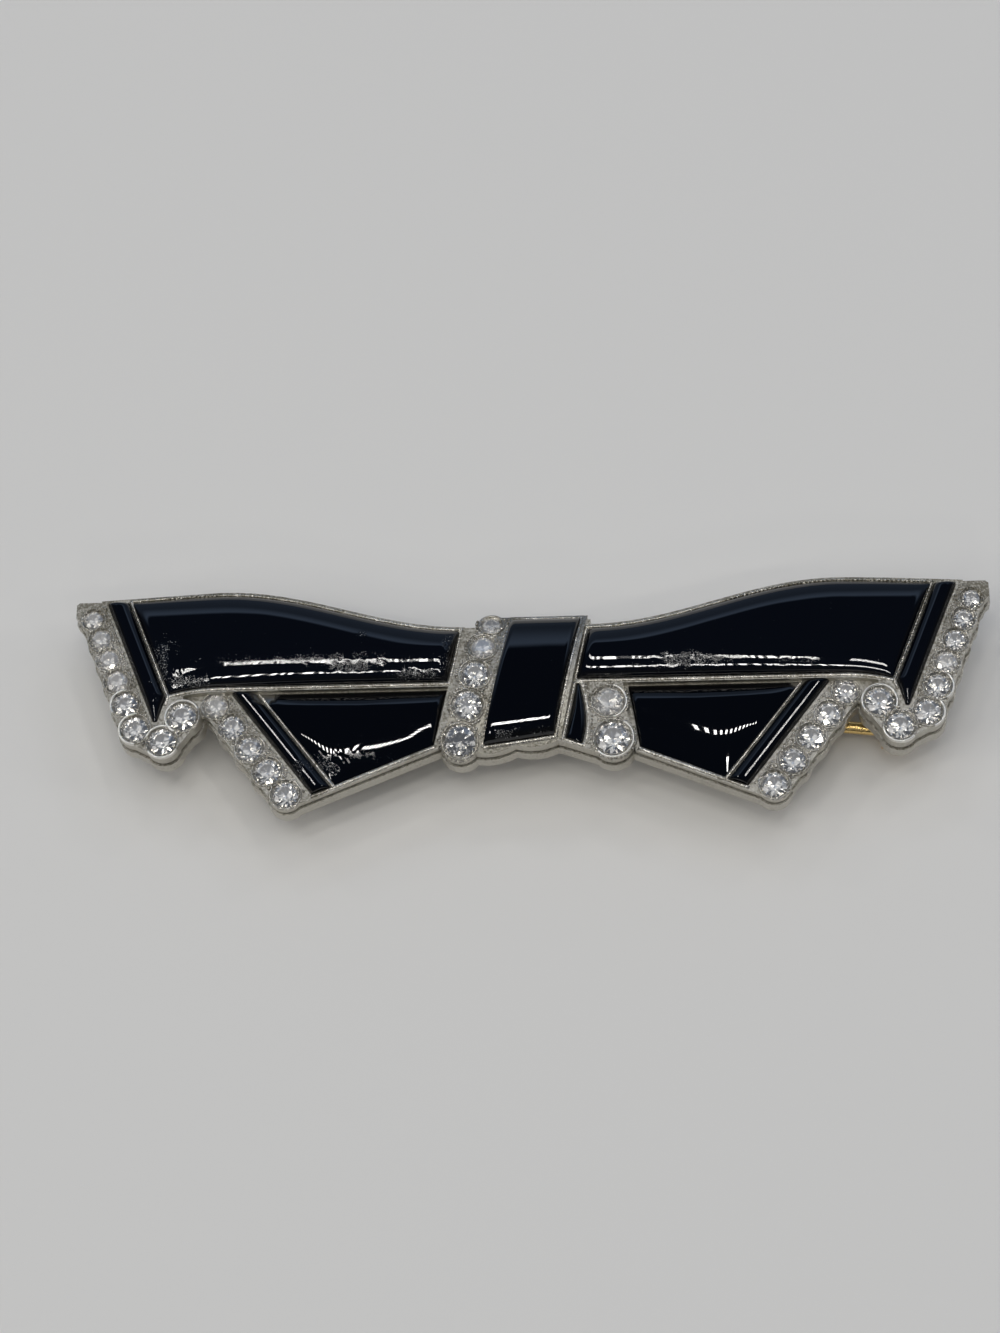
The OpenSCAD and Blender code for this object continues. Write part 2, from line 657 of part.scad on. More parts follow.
// The soldered frame: stepped plate, rims, collets and the arched knot, cut for what it holds
module frame() {
    upper_z = foot_h + plate_h;
    color(METAL) difference() {
        union() {
            slab(foot_h, upper_z) whole_plan(plate_step);
            slab(upper_z, upper_z + groove_h) whole_plan(-groove_d);
            slab(upper_z + groove_h, tail_z) whole_plan(0);
            slab(tail_z - 0.1, wing_z) {
                for (side = [LEFT, RIGHT]) mirrored(side) wing_plan(side, 0);
                knot_back_plan(0);
                side_plan(0);
            }
            intersection() {
                slab(tail_z - 0.2, foot_h + 2 * knot_h) knot_plan(0);
                translate([0, knot_y, arch_z]) rotate([0, 90, 0])
                    cylinder(r = arch_r, h = bow_w, center = true, $fn = 96);
            }
        }
        for (side = [LEFT, RIGHT]) mirrored(side) {
            pocket(loop_sides(side));
            pocket(band_sides());
            pocket(tail_sides(side));
            pocket(tail_band_sides());
            for (i = [0 : EDGE_COUNT - 1]) at_edge(i) seat(edge_d[i]);
            for (i = [0 : TAIL_COUNT - 1]) at_tail(i) seat(tail_d[i]);
        }
        pocket(knot_sides());
        pocket(sliver_sides());
        for (i = [0 : KNOT_COUNT - 1]) at_knot(i) seat(knot_d[i]);
        for (i = [0 : SIDE_COUNT - 1]) at_side(i) seat(side_d[i]);
    }
}

module loop_panel(side) {
    color(ONYX) mirrored(side) domed_panel(loop_sides(side), wing_z, loop_crown, round_w, 10);
}

module edge_band(side) {
    color(ONYX) mirrored(side) domed_panel(band_sides(), wing_z, band_crown, band_w / 2, 6);
}

module tail_panel(side) {
    color(ONYX) mirrored(side) domed_panel(tail_sides(side), tail_z, tail_crown, round_w, 10);
}

module tail_band(side) {
    color(ONYX) mirrored(side) domed_panel(tail_band_sides(), tail_z, band_crown, tail_band_w / 2, 6);
}

module knot_panel() {
    color(ONYX) domed_panel(knot_sides(), wing_z, knot_crown, round_w, 14, arched = true);
}

module knot_side_sliver() {
    color(ONYX) domed_panel(sliver_sides(), wing_z, band_crown * 0.6, sliver_w / 2, 6);
}

// Pin parts: drawn along X about the stem's axis, then laid on the pin's slope
module on_pin() {
    translate([0, pin_mid_y, 0]) rotate([0, 0, -pin_slope]) children();
}

foot_t = 0.5;
module foot_plate(x, length, width) {
    translate([x - length / 2, -width / 2, foot_h - foot_t]) cube([length, width, foot_t]);
}

// Two upright walls under a foot plate, down to the surface
module foot_walls(x, length, width, wall) {
    for (s = [-1, 1]) translate([x - length / 2, s * (width - wall) / 2 - wall / 2, 0])
        cube([length, wall, foot_h]);
}

ear_t = 0.6;
ear_l = 2.0;
// Two ears under a foot plate, with the rivet fixed through them
module hinge_bracket() {
    color(GOLD) on_pin() {
        foot_plate(-hinge_x, ear_l + 0.8, hinge_w);
        foot_walls(-hinge_x, ear_l, hinge_w, ear_t);
        translate([-hinge_x, 0, pin_z]) rotate([90, 0, 0])
            cylinder(r = rivet_r, h = hinge_w - ear_t, center = true, $fn = 32);
    }
}

// A plain fork, open downwards, that holds the stem
catch_l = 1.3;
module catch() {
    color(GOLD) on_pin() {
        foot_plate(catch_x, catch_l, catch_w);
        foot_walls(catch_x, catch_l, catch_w, (catch_w - pin_d) / 2 - run_gap);
    }
}

// The stem, its round knuckle on the rivet and its sharp end
POINT_L = 1.8;
module pin_stem() {
    tip = hinge_x + catch_x + point_reach;
    color(GOLD) on_pin() translate([0, 0, pin_z]) difference() {
        union() {
            translate([-hinge_x, 0, 0]) rotate([90, 0, 0])
                cylinder(r = knuckle_r, h = hinge_w - 2 * ear_t - 2 * run_gap, center = true, $fn = 48);
            translate([-hinge_x, 0, 0]) rotate([0, 90, 0]) rotate_extrude($fn = 32) polygon([
                [0, 0],
                [root_d / 2, 0],
                [pin_d / 2, root_l],
                [pin_d / 2, hinge_x + catch_x - end_l],
                [pin_d * 0.47, tip - POINT_L],
                [pin_d * 0.08, tip],
                [0, tip]
            ]);
        }
        translate([-hinge_x, 0, 0]) rotate([90, 0, 0])
            cylinder(r = rivet_r + run_gap, h = hinge_w, center = true, $fn = 32);
    }
}

// A stone in its seat, a little below the top of the metal
module set_stone(d) {
    translate([0, 0, -girdle_drop]) brilliant(d);
}

frame();
hinge_bracket();
catch();
pin_stem();
loop_panel(LEFT);  // left_loop_panel
loop_panel(RIGHT);  // right_loop_panel
edge_band(LEFT);  // left_edge_band
edge_band(RIGHT);  // right_edge_band
tail_panel(LEFT);  // left_tail_panel
tail_panel(RIGHT);  // right_tail_panel
tail_band(LEFT);  // left_tail_band
tail_band(RIGHT);  // right_tail_band
knot_panel();
knot_side_sliver();
for (i = [0 : EDGE_COUNT - 1]) {
    mirrored(LEFT) at_edge(i) set_stone(edge_d[i]);
    at_edge(i) set_stone(edge_d[i]);
}
for (i = [0 : TAIL_COUNT - 1]) {
    mirrored(LEFT) at_tail(i) set_stone(tail_d[i]);
    at_tail(i) set_stone(tail_d[i]);
}
for (i = [0 : KNOT_COUNT - 1]) {
    at_knot(i) set_stone(knot_d[i]);
}
for (i = [0 : SIDE_COUNT - 1]) {
    at_side(i) set_stone(side_d[i]);
}
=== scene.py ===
"""Looks of the bow brooch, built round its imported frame: satin grey-white metal with beaded
rims, domed black onyx, round brilliants and a gold pin. Sizes are in millimetres, and are
made metres where a mesh is written. X runs along the bow, Y up it and Z out of its face."""

import math

import bmesh
import bpy
import numpy as np
from mathutils import Matrix, Vector


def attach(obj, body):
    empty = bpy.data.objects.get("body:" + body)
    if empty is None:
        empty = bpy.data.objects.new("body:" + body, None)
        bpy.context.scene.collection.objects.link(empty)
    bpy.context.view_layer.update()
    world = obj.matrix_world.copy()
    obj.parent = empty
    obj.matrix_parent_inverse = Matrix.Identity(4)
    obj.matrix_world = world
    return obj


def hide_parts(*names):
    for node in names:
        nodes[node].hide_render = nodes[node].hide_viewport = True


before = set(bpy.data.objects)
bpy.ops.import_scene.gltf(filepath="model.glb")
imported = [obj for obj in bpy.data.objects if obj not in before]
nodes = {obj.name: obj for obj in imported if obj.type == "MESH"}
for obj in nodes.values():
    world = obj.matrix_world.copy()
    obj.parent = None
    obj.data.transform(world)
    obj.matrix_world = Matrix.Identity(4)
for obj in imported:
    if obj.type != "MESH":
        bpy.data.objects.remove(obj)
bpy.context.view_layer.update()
scene = bpy.context.scene
MM = 0.001
BODY = "brooch"

# The camera looks down at the brooch from 67 degrees above the surface and a little from
# the right, turned to hold the bow level. The knot lies right of the picture's middle.
camera_elevation = math.radians(67)
camera_azimuth = math.radians(9.8)
camera_roll = math.radians(10.4)
camera_distance = 200
px_per_mm = 16
frame_px = (1000, 1333)
knot_px = (528.4, 687)
knot_point = Vector((0, 0.2, 4.6))
SENSOR = 36

level = math.cos(camera_elevation)
back = Vector((
    level * math.sin(camera_azimuth),
    -level * math.cos(camera_azimuth),
    math.sin(camera_elevation),
))
along_bow = Vector((math.cos(camera_azimuth), math.sin(camera_azimuth), 0))
up_bow = back.cross(along_bow)
right = math.cos(camera_roll) * along_bow - math.sin(camera_roll) * up_bow
up = math.sin(camera_roll) * along_bow + math.cos(camera_roll) * up_bow
middle = (
    knot_point
    - right * (knot_px[0] - frame_px[0] / 2) / px_per_mm
    + up * (knot_px[1] - frame_px[1] / 2) / px_per_mm
)
place = middle + back * camera_distance

camera = bpy.data.objects.new("camera", bpy.data.cameras.new("camera"))
scene.collection.objects.link(camera)
turn = Matrix((right, up, back)).transposed().to_4x4()
camera.matrix_world = Matrix.Translation(place * MM) @ turn
camera.data.sensor_width = SENSOR
camera.data.lens = SENSOR * camera_distance / (frame_px[1] / px_per_mm)
camera.data.clip_start = 0.01
camera.data.clip_end = 5
scene.camera = camera


# The floor is a plain pale board. A shader's sums are written as expressions: Sock wraps
# a socket, its operators add Math nodes, and Shader.node() adds any other node.
class Sock:
    """A socket whose operators add Math nodes to its tree."""

    def __init__(self, shader, socket):
        self.shader = shader
        self.socket = socket

    def math(self, operation, first, second=None):
        values = {0: first} if second is None else {0: first, 1: second}
        return self.shader.node("ShaderNodeMath", values, operation=operation)

    def __add__(self, other):
        return self.math("ADD", self, other)

    __radd__ = __add__

    def __mul__(self, other):
        return self.math("MULTIPLY", self, other)

    __rmul__ = __mul__

    def __sub__(self, other):
        return self.math("SUBTRACT", self, other)

    def __rsub__(self, other):
        return self.math("SUBTRACT", other, self)

    def ramp(self, low, high, start=0.0, end=1.0):
        """Smooth step: start at low and below, end at high and above."""
        values = {"Value": self, "From Min": low, "From Max": high, "To Min": start, "To Max": end}
        return self.shader.node("ShaderNodeMapRange", values, interpolation_type="SMOOTHSTEP")


class Shader:
    """A material or world under construction."""

    def __init__(self, tree):
        self.tree = tree
        tree.nodes.clear()

    def node(self, kind, values=None, output=0, **settings):
        """Adds a node: its settings, then the values or links of its sockets."""
        made = self.tree.nodes.new(kind)
        for key, value in settings.items():
            setattr(made, key, value)
        for key, value in (values or {}).items():
            if isinstance(value, Sock):
                self.tree.links.new(value.socket, made.inputs[key])
            else:
                made.inputs[key].default_value = value
        return Sock(self, made.outputs[output] if made.outputs else None)

    def colour(self, first, second, factor):
        """Mixes two colours."""
        values = {0: factor, 6: first, 7: second}
        return self.node("ShaderNodeMix", values, output=2, data_type="RGBA")

    def noise(self, vector, size_mm, detail, roughness=0.5):
        """Noise whose largest features are about size_mm across."""
        values = {"Vector": vector, "Scale": 1 / (size_mm * MM), "Detail": detail, "Roughness": roughness}
        return self.node("ShaderNodeTexNoise", values, output="Fac")

    def finish(self, values):
        """The Principled BSDF and the output."""
        surface = self.node("ShaderNodeBsdfPrincipled", values)
        self.node("ShaderNodeOutputMaterial", {"Surface": surface})


def rgba(red, green, blue):
    """A full colour, with an alpha of 1."""
    return (red, green, blue, 1)


def new_shader(name):
    """A new material and its empty shader."""
    material = bpy.data.materials.new(name)
    material.use_nodes = True
    return material, Shader(material.node_tree)


def add_mesh(name, points, faces, material, smooth=True):
    """A mesh object from points in millimetres and faces of one size or several."""
    mesh = bpy.data.meshes.new(name)
    mesh.from_pydata((np.asarray(points, float) * MM).tolist(), [], [tuple(map(int, f)) for f in faces])
    mesh.polygons.foreach_set("use_smooth", np.full(len(mesh.polygons), smooth))
    mesh.materials.append(material)
    mesh.update()
    thing = bpy.data.objects.new(name, mesh)
    scene.collection.objects.link(thing)
    return thing


floor_colour = rgba(0.80, 0.79, 0.77)
floor_half = 1500
material, shader = new_shader("pale_board")
shader.finish({"Base Color": floor_colour, "Roughness": 0.7, "Specular IOR Level": 0.2})
floor_corners = floor_half * np.array([(-1, -1, 0), (1, -1, 0), (1, 1, 0), (-1, 1, 0)])
floor = add_mesh("floor", floor_corners, [(0, 1, 2, 3)], material)

# Light: a dim room with a cool window low behind the bow, soft lamps, a scatter of small
# lamps that the stones and grains catch, and rows of tiny lamps that draw the bright
# dashes on the onyx. The onyx, which is a black mirror, is lit by the rows and the room.
window_glow = rgba(0.15, 0.20, 0.29)
window_edge = rgba(0.46, 0.62, 0.90)
room_glow = rgba(0.030, 0.042, 0.070)
room_front = rgba(0.05, 0.05, 0.05)

world = bpy.data.worlds.new("studio")
world.use_nodes = True
scene.world = world
shader = Shader(world.node_tree)
direction = shader.node("ShaderNodeTexCoord", output="Generated")
split = shader.node("ShaderNodeSeparateXYZ", {0: direction}).socket.node
to_rear = Sock(shader, split.outputs["Y"])
height = Sock(shader, split.outputs["Z"])
window = height.ramp(0.70, 0.76, 1.0, 0.0) * to_rear.ramp(0.2, 0.5)
glow = shader.colour(room_glow, room_front, height.ramp(0.2, 0.6, 1.0, 0.0))
glow = shader.colour(glow, shader.colour(window_glow, window_edge, height.ramp(0.52, 0.74)), window)
sky = shader.node("ShaderNodeBackground", {"Color": glow, "Strength": 1.0})
shader.node("ShaderNodeOutputWorld", {"Surface": sky})

row_words = ("loops", "knot", "left_tail", "right_tail", "tail_bands")
row_lit = {name: bpy.data.collections.new(name) for name in row_words}
spared = bpy.data.collections.new("spared_by_lamps")


def add_lamp(name, position, size, radiance, colour=(1, 1, 1)):
    """A rectangular lamp at a place in millimetres, turned to the bow. It spares the onyx."""
    data = bpy.data.lights.new(name, "AREA")
    data.shape = "RECTANGLE"
    data.size = size[0] * MM
    data.size_y = size[1] * MM
    data.energy = radiance * math.pi * data.size * data.size_y
    data.color = colour
    lamp = bpy.data.objects.new(name, data)
    lamp.location = Vector(position) * MM
    lamp.rotation_mode = "QUATERNION"
    lamp.rotation_quaternion = (-Vector(position)).to_track_quat("-Z", "Y")
    lamp.light_linking.receiver_collection = spared
    scene.collection.objects.link(lamp)


add_lamp("soft_top", (-60, 160, 900), (900, 700), 0.75, (0.98, 0.99, 1.0))
add_lamp("soft_left", (-520, -160, 380), (300, 300), 2.0, (1.0, 0.96, 0.91))
add_lamp("soft_right", (560, 60, 360), (260, 260), 0.9, (0.93, 0.96, 1.0))
SPARKS = 24
spark_size, spark_distance, spark_glow = (40, 40), 640, 17
clear_of_tables = math.radians(13)
mirror_way = Vector((-back.x, -back.y, back.z))
for i in range(SPARKS):
    spark_turn = i * math.pi * (3 - math.sqrt(5))
    spark_rise = math.radians(30 + 54 * (i + 0.5) / SPARKS)
    way = Vector((
        math.cos(spark_rise) * math.cos(spark_turn),
        math.cos(spark_rise) * math.sin(spark_turn),
        math.sin(spark_rise),
    ))
    # None stands where the stones' flat tables would mirror it whole
    if way.angle(mirror_way) > clear_of_tables:
        spark_tone = (1.0, 0.96, 0.88 + 0.06 * math.cos(2.3 * i))
        add_lamp(f"spark_lamp_{i + 1}", way * spark_distance, spark_size, spark_glow, spark_tone)

# Rows of tiny lamps: the angle from overhead towards the front at the middle, its growth
# along x, both ends, how many, how far they crowd to the first end, the share of the row that
# they fill, their depth, and the pieces lit. Each dome tilts its own way.
lamp_rows = (
    (17, 0.16, -89, 46, 48, 1.0, 0.38, 34, "loops"),
    (47, 0.10, -96, 46, 38, 1.0, 0.45, 32, "loops"),
    (33, -0.25, -18, 10, 13, 1.0, 0.6, 34, "knot"),
    (55, 0.0, -30, -8, 6, 1.0, 0.6, 28, "knot"),
    (2.6, 0.12, 14, -16, 9, 1.0, 0.62, 5, "left_tail"),
    (-0.5, 0.0, -18, -215, 14, 1.1, 0.35, 6, "left_tail"),
    (3.9, 0.0, -104, -118, 1, 1.0, 1.0, 4, "left_tail"),
    (-4.2, 0.012, -18, 150, 13, 1.12, 0.38, 7, "right_tail"),
    (3.2, 0.0, 42, 54, 1, 1.0, 1.0, 3, "right_tail"),
    (-31, 0.17, 150, 235, 13, 1.0, 0.3, 40, "tail_bands"),
    (-28, -0.13, -210, -140, 11, 1.0, 0.3, 40, "tail_bands"),
)
row_distance = 300
material, shader = new_shader("tiny_lamps")
# Pieces that a lamp doesn't light see through it
glow = shader.node("ShaderNodeEmission", {"Color": rgba(1.0, 0.98, 0.95), "Strength": 44.0})
see_through = shader.node("ShaderNodeBsdfTransparent")
glow = shader.node("ShaderNodeAddShader", {0: glow, 1: see_through})
shader.node("ShaderNodeOutputMaterial", {"Surface": glow})
for row, values in enumerate(lamp_rows):
    row_angle, row_slant, row_from, row_to, count, crowd, fill, depth, lit = values
    x = row_from + (row_to - row_from) * np.linspace(0, 1, count + 1) ** crowd
    x, lamp_w = (x[:-1] + x[1:]) / 2, fill * np.diff(x)
    corner_x = x[:, None] + np.array([-0.5, 0.5, 0.5, -0.5]) * lamp_w[:, None]
    half_depth = np.degrees(depth / 2 / row_distance) * np.array([-1, -1, 1, 1])
    corner_turn = np.radians(row_angle + row_slant * x[:, None] + half_depth)
    towards_front = row_distance * np.sin(corner_turn)
    overhead = row_distance * np.cos(corner_turn)
    corners = np.stack([corner_x, -towards_front, overhead], -1).reshape(-1, 3)
    quads = np.arange(len(corners)).reshape(-1, 4)
    lamp_row = add_mesh(f"lamp_row_{row + 1}", corners, quads, material, smooth=False)
    lamp_row.light_linking.receiver_collection = row_lit[lit]

# The plan of the bow, as the metal, the stones and the onyx share it. Each half is drawn as
# the right-hand one. Rows of stones run down the ends, and panels lie between two lines.
LEFT, RIGHT = -1, 1
bow_w, loop_top, loop_inner_top, corner_y = 58, 7.0, 4.2, 6.5
seam_y, seam_dip, tail_start_y = 0.55, 0.45, -0.42
edge_lean, tail_lean, tail_rise = map(math.radians, (21.8, 37.4, 22.2))
foot_h, wing_h, tail_h, knot_h, knot_sag = 2.6, 2.0, 1.5, 2.8, 0.9
plate_step, floor_t, rim_w, border_w, collet_w = 0.12, 0.8, 0.24, 0.3, 0.22
seat_gap, girdle_drop, lip, web = 0.04, 0.1, 0.1, 0.12
band_w, tail_band_w, sliver_w = 1.57, 1.52, 1.15
edge_stone, edge_gap, hook_gap, first_drop, first_in = 1.7, 0.17, 0.22, 0.99, 1.13
tail_stone, tail_gap, knot_stone, knot_gap, side_stone, side_gap = 1.7, 0.25, 2.0, 0.26, 2.2, 0.42
knot_w, knot_top, knot_bottom, knot_low_rise, knot_rim, pleat_d = 4.45, 5.05, -3.5, 0.55, 0.35, 0.3
knot_lean = math.radians(11.5)

half_w = bow_w / 2 - plate_step
wing_z = foot_h + wing_h
tail_z = foot_h + tail_h
floor_z = foot_h + floor_t


def heading(degrees):
    """Unit vector at an angle from X."""
    return np.array([math.cos(math.radians(degrees)), math.sin(math.radians(degrees))])


def stone_row(start, step, diameters, gap):
    """Centres of stones in a straight line: each lies half of both diameters and a gap on."""
    d = np.asarray(diameters)
    reach = np.concatenate([[0], np.cumsum((d[:-1] + d[1:]) / 2 + gap)])
    return np.asarray(start) + reach[:, None] * np.asarray(step)


edge_d = np.array([0.74, 0.79, 0.82, 0.86, 0.94, 1, 1.06, 1.09]) * edge_stone
straight_count = 6
edge_start = np.array([half_w - first_in, corner_y - first_drop])
edge_way = (-math.sin(edge_lean), -math.cos(edge_lean))
edge_at = stone_row(edge_start, edge_way, edge_d[:straight_count], edge_gap)
for hook_heading in (207, 126):
    i = len(edge_at)
    step = (edge_d[i - 1] + edge_d[i]) / 2 + hook_gap
    edge_at = np.vstack([edge_at, edge_at[-1] + step * heading(hook_heading)])
band_off = edge_d[straight_count - 1] / 2 + collet_w
loop_off = band_off + band_w

tail_d = np.array([0.91, 0.94, 0.97, 1, 1]) * tail_stone
tail_way = (-math.sin(tail_lean), -math.cos(tail_lean))
tail_start = np.array([half_w * 0.684, tail_start_y])
tail_at = stone_row(tail_start, tail_way, tail_d, tail_gap)
tail_band_off = tail_stone / 2 + collet_w + 0.05
tail_panel_off = tail_band_off + tail_band_w
tail_tip = tail_at[-1]
tip_r = tail_stone / 2 + collet_w

knot_d = np.array([0.65, 0.8, 0.875, 0.925, 1]) * knot_stone
knot_x = 0.25
knot_y = (knot_top + knot_bottom - pleat_d) / 2
col_margin = 0.48
column_w = knot_stone + col_margin + collet_w + 0.3
arch_r = (((knot_top - knot_bottom) / 2) ** 2 + knot_sag**2) / (2 * knot_sag)
arch_z = foot_h + knot_h - arch_r


def arch(y):
    """Height of the knot's metal: a circle along the knot's length."""
    return arch_z + np.sqrt(arch_r**2 - (y - knot_y) ** 2)


def edge_line(y, off):
    """X at a height of the line that leans with the edge's stones, off inwards of them."""
    return edge_start[0] - (edge_start[1] - y) * math.tan(edge_lean) - off / math.cos(edge_lean)


def tail_line(y, off):
    """X at a height of the line that leans with the tail's stones, off inwards of them."""
    return tail_at[0][0] - (tail_start_y - y) * math.tan(tail_lean) - off / math.cos(tail_lean)


def tail_low(x):
    """The tail's lower edge: a line that rises inwards from its last stone."""
    return tail_tip[1] - (tip_r - border_w) / math.cos(tail_rise) + (tail_tip[0] - x) * math.tan(tail_rise)


def tail_foot(off):
    """Where the tail's lower edge meets a line that leans with its stones."""
    lean, rise = math.tan(tail_lean), math.tan(tail_rise)
    x = (tail_line(0, off) + lean * tail_low(0)) / (1 + lean * rise)
    return np.array([x, tail_low(x)])


def knot_left(y):
    """Left edge of the knot's panel, which leans about its middle."""
    return knot_x - knot_w / 2 + (y - knot_y) * math.tan(knot_lean)


def knot_right(y):
    """Right edge of the knot's panel."""
    return knot_left(y) + knot_w


def knot_edge(y):
    """Right edge of the knot's rim."""
    return knot_right(y) + knot_rim


def knot_side(y):
    """Where the pieces on the right of the knot start."""
    return knot_edge(y) + lip


def column_side(y):
    """Left edge of the knot's column of stones, as a left half that is drawn on the right."""
    return column_w - knot_left(y)


def knot_low(f):
    """The knot's lower edge, at a share of the way across it."""
    return knot_bottom + knot_low_rise * (f - 0.5)


knot_reach = stone_row((0, 0), (0, math.cos(knot_lean)), knot_d, knot_gap)[:, 1]
knot_stone_y = knot_top - knot_d[0] / 2 - knot_reach
knot_at = np.stack([knot_left(knot_stone_y) - knot_d / 2 - col_margin, knot_stone_y], axis=1)

side_d = np.array([0.86, 1]) * side_stone
side_drop = 0.48
side_start = (knot_side(seam_y) + sliver_w + side_d[0] / 2, seam_y - side_d[0] / 2 - side_drop)
side_at = stone_row(side_start, heading(-84), side_d, side_gap)


def side_line(y):
    """The line just right of both stones beside the knot."""
    x = side_at[:, 0] + side_d / 2 + collet_w + web
    return x[0] + (x[1] - x[0]) * (y - side_at[0, 1]) / (side_at[1, 1] - side_at[0, 1])


rise_x, peak_x = half_w * 0.133, half_w * 0.674


def top_y(x):
    """The loops' top edge: a cosine rise from the knot, then a slow fall to the corner."""
    rise = (1 - np.cos(np.pi * np.clip((x - rise_x) / (peak_x - rise_x), 0, 1))) / 2
    fall = np.clip((x - peak_x) / (half_w - peak_x), 0, 1) ** 1.3
    return loop_inner_top + (loop_top - loop_inner_top) * rise + (corner_y - loop_top) * fall


loop_corner_y = seam_y - seam_dip
loop_corner = np.array([edge_line(loop_corner_y, loop_off), loop_corner_y])
hook_turn = edge_at[straight_count]
apex_y = hook_turn[1] + edge_d[straight_count] / 2 + collet_w + lip
apex = np.array([edge_line(apex_y, band_off), apex_y])
dip_x = half_w * 0.68
point_w = rim_w + 2 * seat_gap + web


def seam_at(x):
    """The seam below the loops: level, then a parabola down to the loop's corner."""
    return seam_y - seam_dip * (np.clip(x - dip_x, 0, None) / (loop_corner[0] - dip_x)) ** 2


def line(first, last, count):
    """Evenly spaced points or numbers, count steps from the first to the last."""
    return np.linspace(np.asarray(first, float), np.asarray(last, float), count + 1)


def loop_sides(side, count):
    """Lower and upper line of a loop panel, from the knot outwards."""
    inner = knot_side if side == RIGHT else column_side
    x0 = inner(seam_y)
    x1 = inner(top_y(inner(loop_inner_top)))
    x2 = edge_line(top_y(edge_line(loop_top, loop_off)), loop_off)
    low = line(x0, loop_corner[0], count)
    high = line(x1, x2, count)
    return np.stack([low, seam_at(low)], 1), np.stack([high, top_y(high)], 1)


def band_sides(count):
    """Outer and inner line of the band at the wing's end, from its point up."""
    x0, x1 = edge_line(corner_y, band_off), edge_line(corner_y, loop_off)
    outer_top = (edge_line(top_y(x0), band_off), top_y(x0))
    inner_top = (edge_line(top_y(x1), loop_off), top_y(x1))
    bend = (edge_line(loop_corner_y, band_off), loop_corner_y)
    short = count // 4
    outer = [line(apex, bend, short)[:-1], line(bend, outer_top, count - short)]
    inner_apex = apex - (point_w, 0)
    inner = [line(inner_apex, loop_corner, short)[:-1], line(loop_corner, inner_top, count - short)]
    return np.vstack(outer), np.vstack(inner)


def tail_sides(side, count):
    """Lower and upper line of a tail panel, from the knot outwards."""
    inner = side_line if side == RIGHT else column_side
    y0 = seam_y - rim_w / 2
    foot = tail_foot(tail_panel_off)
    low = line(inner(tail_low(inner(-knot_stone * 2))), foot[0], count)
    high = line((inner(y0), y0), (tail_line(y0, tail_panel_off), y0), count)
    return np.stack([low, tail_low(low)], 1), high


def tail_band_sides(count):
    """Outer and inner line of the band at the tail's end."""
    y0 = seam_y - rim_w / 2
    outer = line(tail_foot(tail_band_off), (tail_line(y0, tail_band_off), y0), count)
    inner = line(tail_foot(tail_panel_off), (tail_line(y0, tail_panel_off), y0), count)
    return outer, inner


def knot_sides(count):
    """Lower and upper line of the knot's panel."""
    y0, y1, y2 = knot_low(0), knot_low(1), knot_top - lip
    return (
        line((knot_left(y0), y0), (knot_right(y1), y1), count),
        line((knot_left(y2), y2), (knot_right(y2), y2), count),
    )


def sliver_sides(count):
    """Right and left line of the piece beside the knot: it widens downwards and bulges."""
    low = side_at[1, 1] - (side_d[1] / 2 + collet_w) * 0.35
    y = line(low, seam_y - lip, count)
    left_y = line(low + 0.5, seam_y - lip, count)
    t = 1 - line(0, 1, count)
    bulge = (sliver_w - 0.3) * (0.45 * t + 0.85 * np.sin(np.radians(120 * t)))
    right_x = knot_side(y) + point_w + bulge
    return np.stack([right_x, y], 1), np.stack([knot_side(left_y), left_y], 1)


# The frame is soldered from platinum or a like metal: a stepped plate, thin rims between
# the onyx, and an arched knot. Its edges are worn round, and its upward faces, on top and in its recesses,
# are darkened as painted shade.
def metal_shader(name, light, dark, polish, grain, stain_low):
    """Metal of two tones, duller at the bow's top. polish is its lowest roughness, grain the
    strength of its relief, and stains start where the noise passes stain_low."""
    material, shader = new_shader(name)
    place = shader.node("ShaderNodeTexCoord", output="Object")
    broad = shader.noise(place, 1.7, 3)
    fine = shader.noise(place, 0.13, 3, 0.6)
    split = shader.node("ShaderNodeSeparateXYZ", {0: place}).socket.node
    tarnish = Sock(shader, split.outputs["Y"]).ramp(2.5 * MM, 6.5 * MM, 0.0, 0.07)
    stain = (broad * 0.35 + fine * 0.85 + tarnish).ramp(stain_low, stain_low + 0.32)
    bump = shader.node(
        "ShaderNodeBump", {"Strength": grain, "Distance": 0.03 * MM, "Height": fine * 0.8 + broad * 0.2}
    )
    shader.finish({
        "Base Color": shader.colour(light, dark, stain),
        "Metallic": 1.0,
        "Roughness": (polish + fine * 0.25 + stain * 0.15),
        "Normal": bump,
    })
    return material


satin_tone, satin_shade = rgba(0.58, 0.56, 0.51), rgba(0.42, 0.40, 0.35)
# The worked metal has a stronger grain, and its darker tones are painted shade on the faces that look up
worked_tone_painted_shade, worked_stain_painted_shade = rgba(0.42, 0.405, 0.365), rgba(0.17, 0.158, 0.125)
metal = metal_shader("satin_platinum", satin_tone, satin_shade, 0.30, 0.4, 0.57)
worked_metal_painted_shade = metal_shader("worked_platinum_painted_shade", worked_tone_painted_shade, worked_stain_painted_shade, 0.28, 1.0, 0.48)
edge_round, weld = 0.05, 0.0005
flat_angle, sharp_angle = math.radians(1.5), math.radians(30)

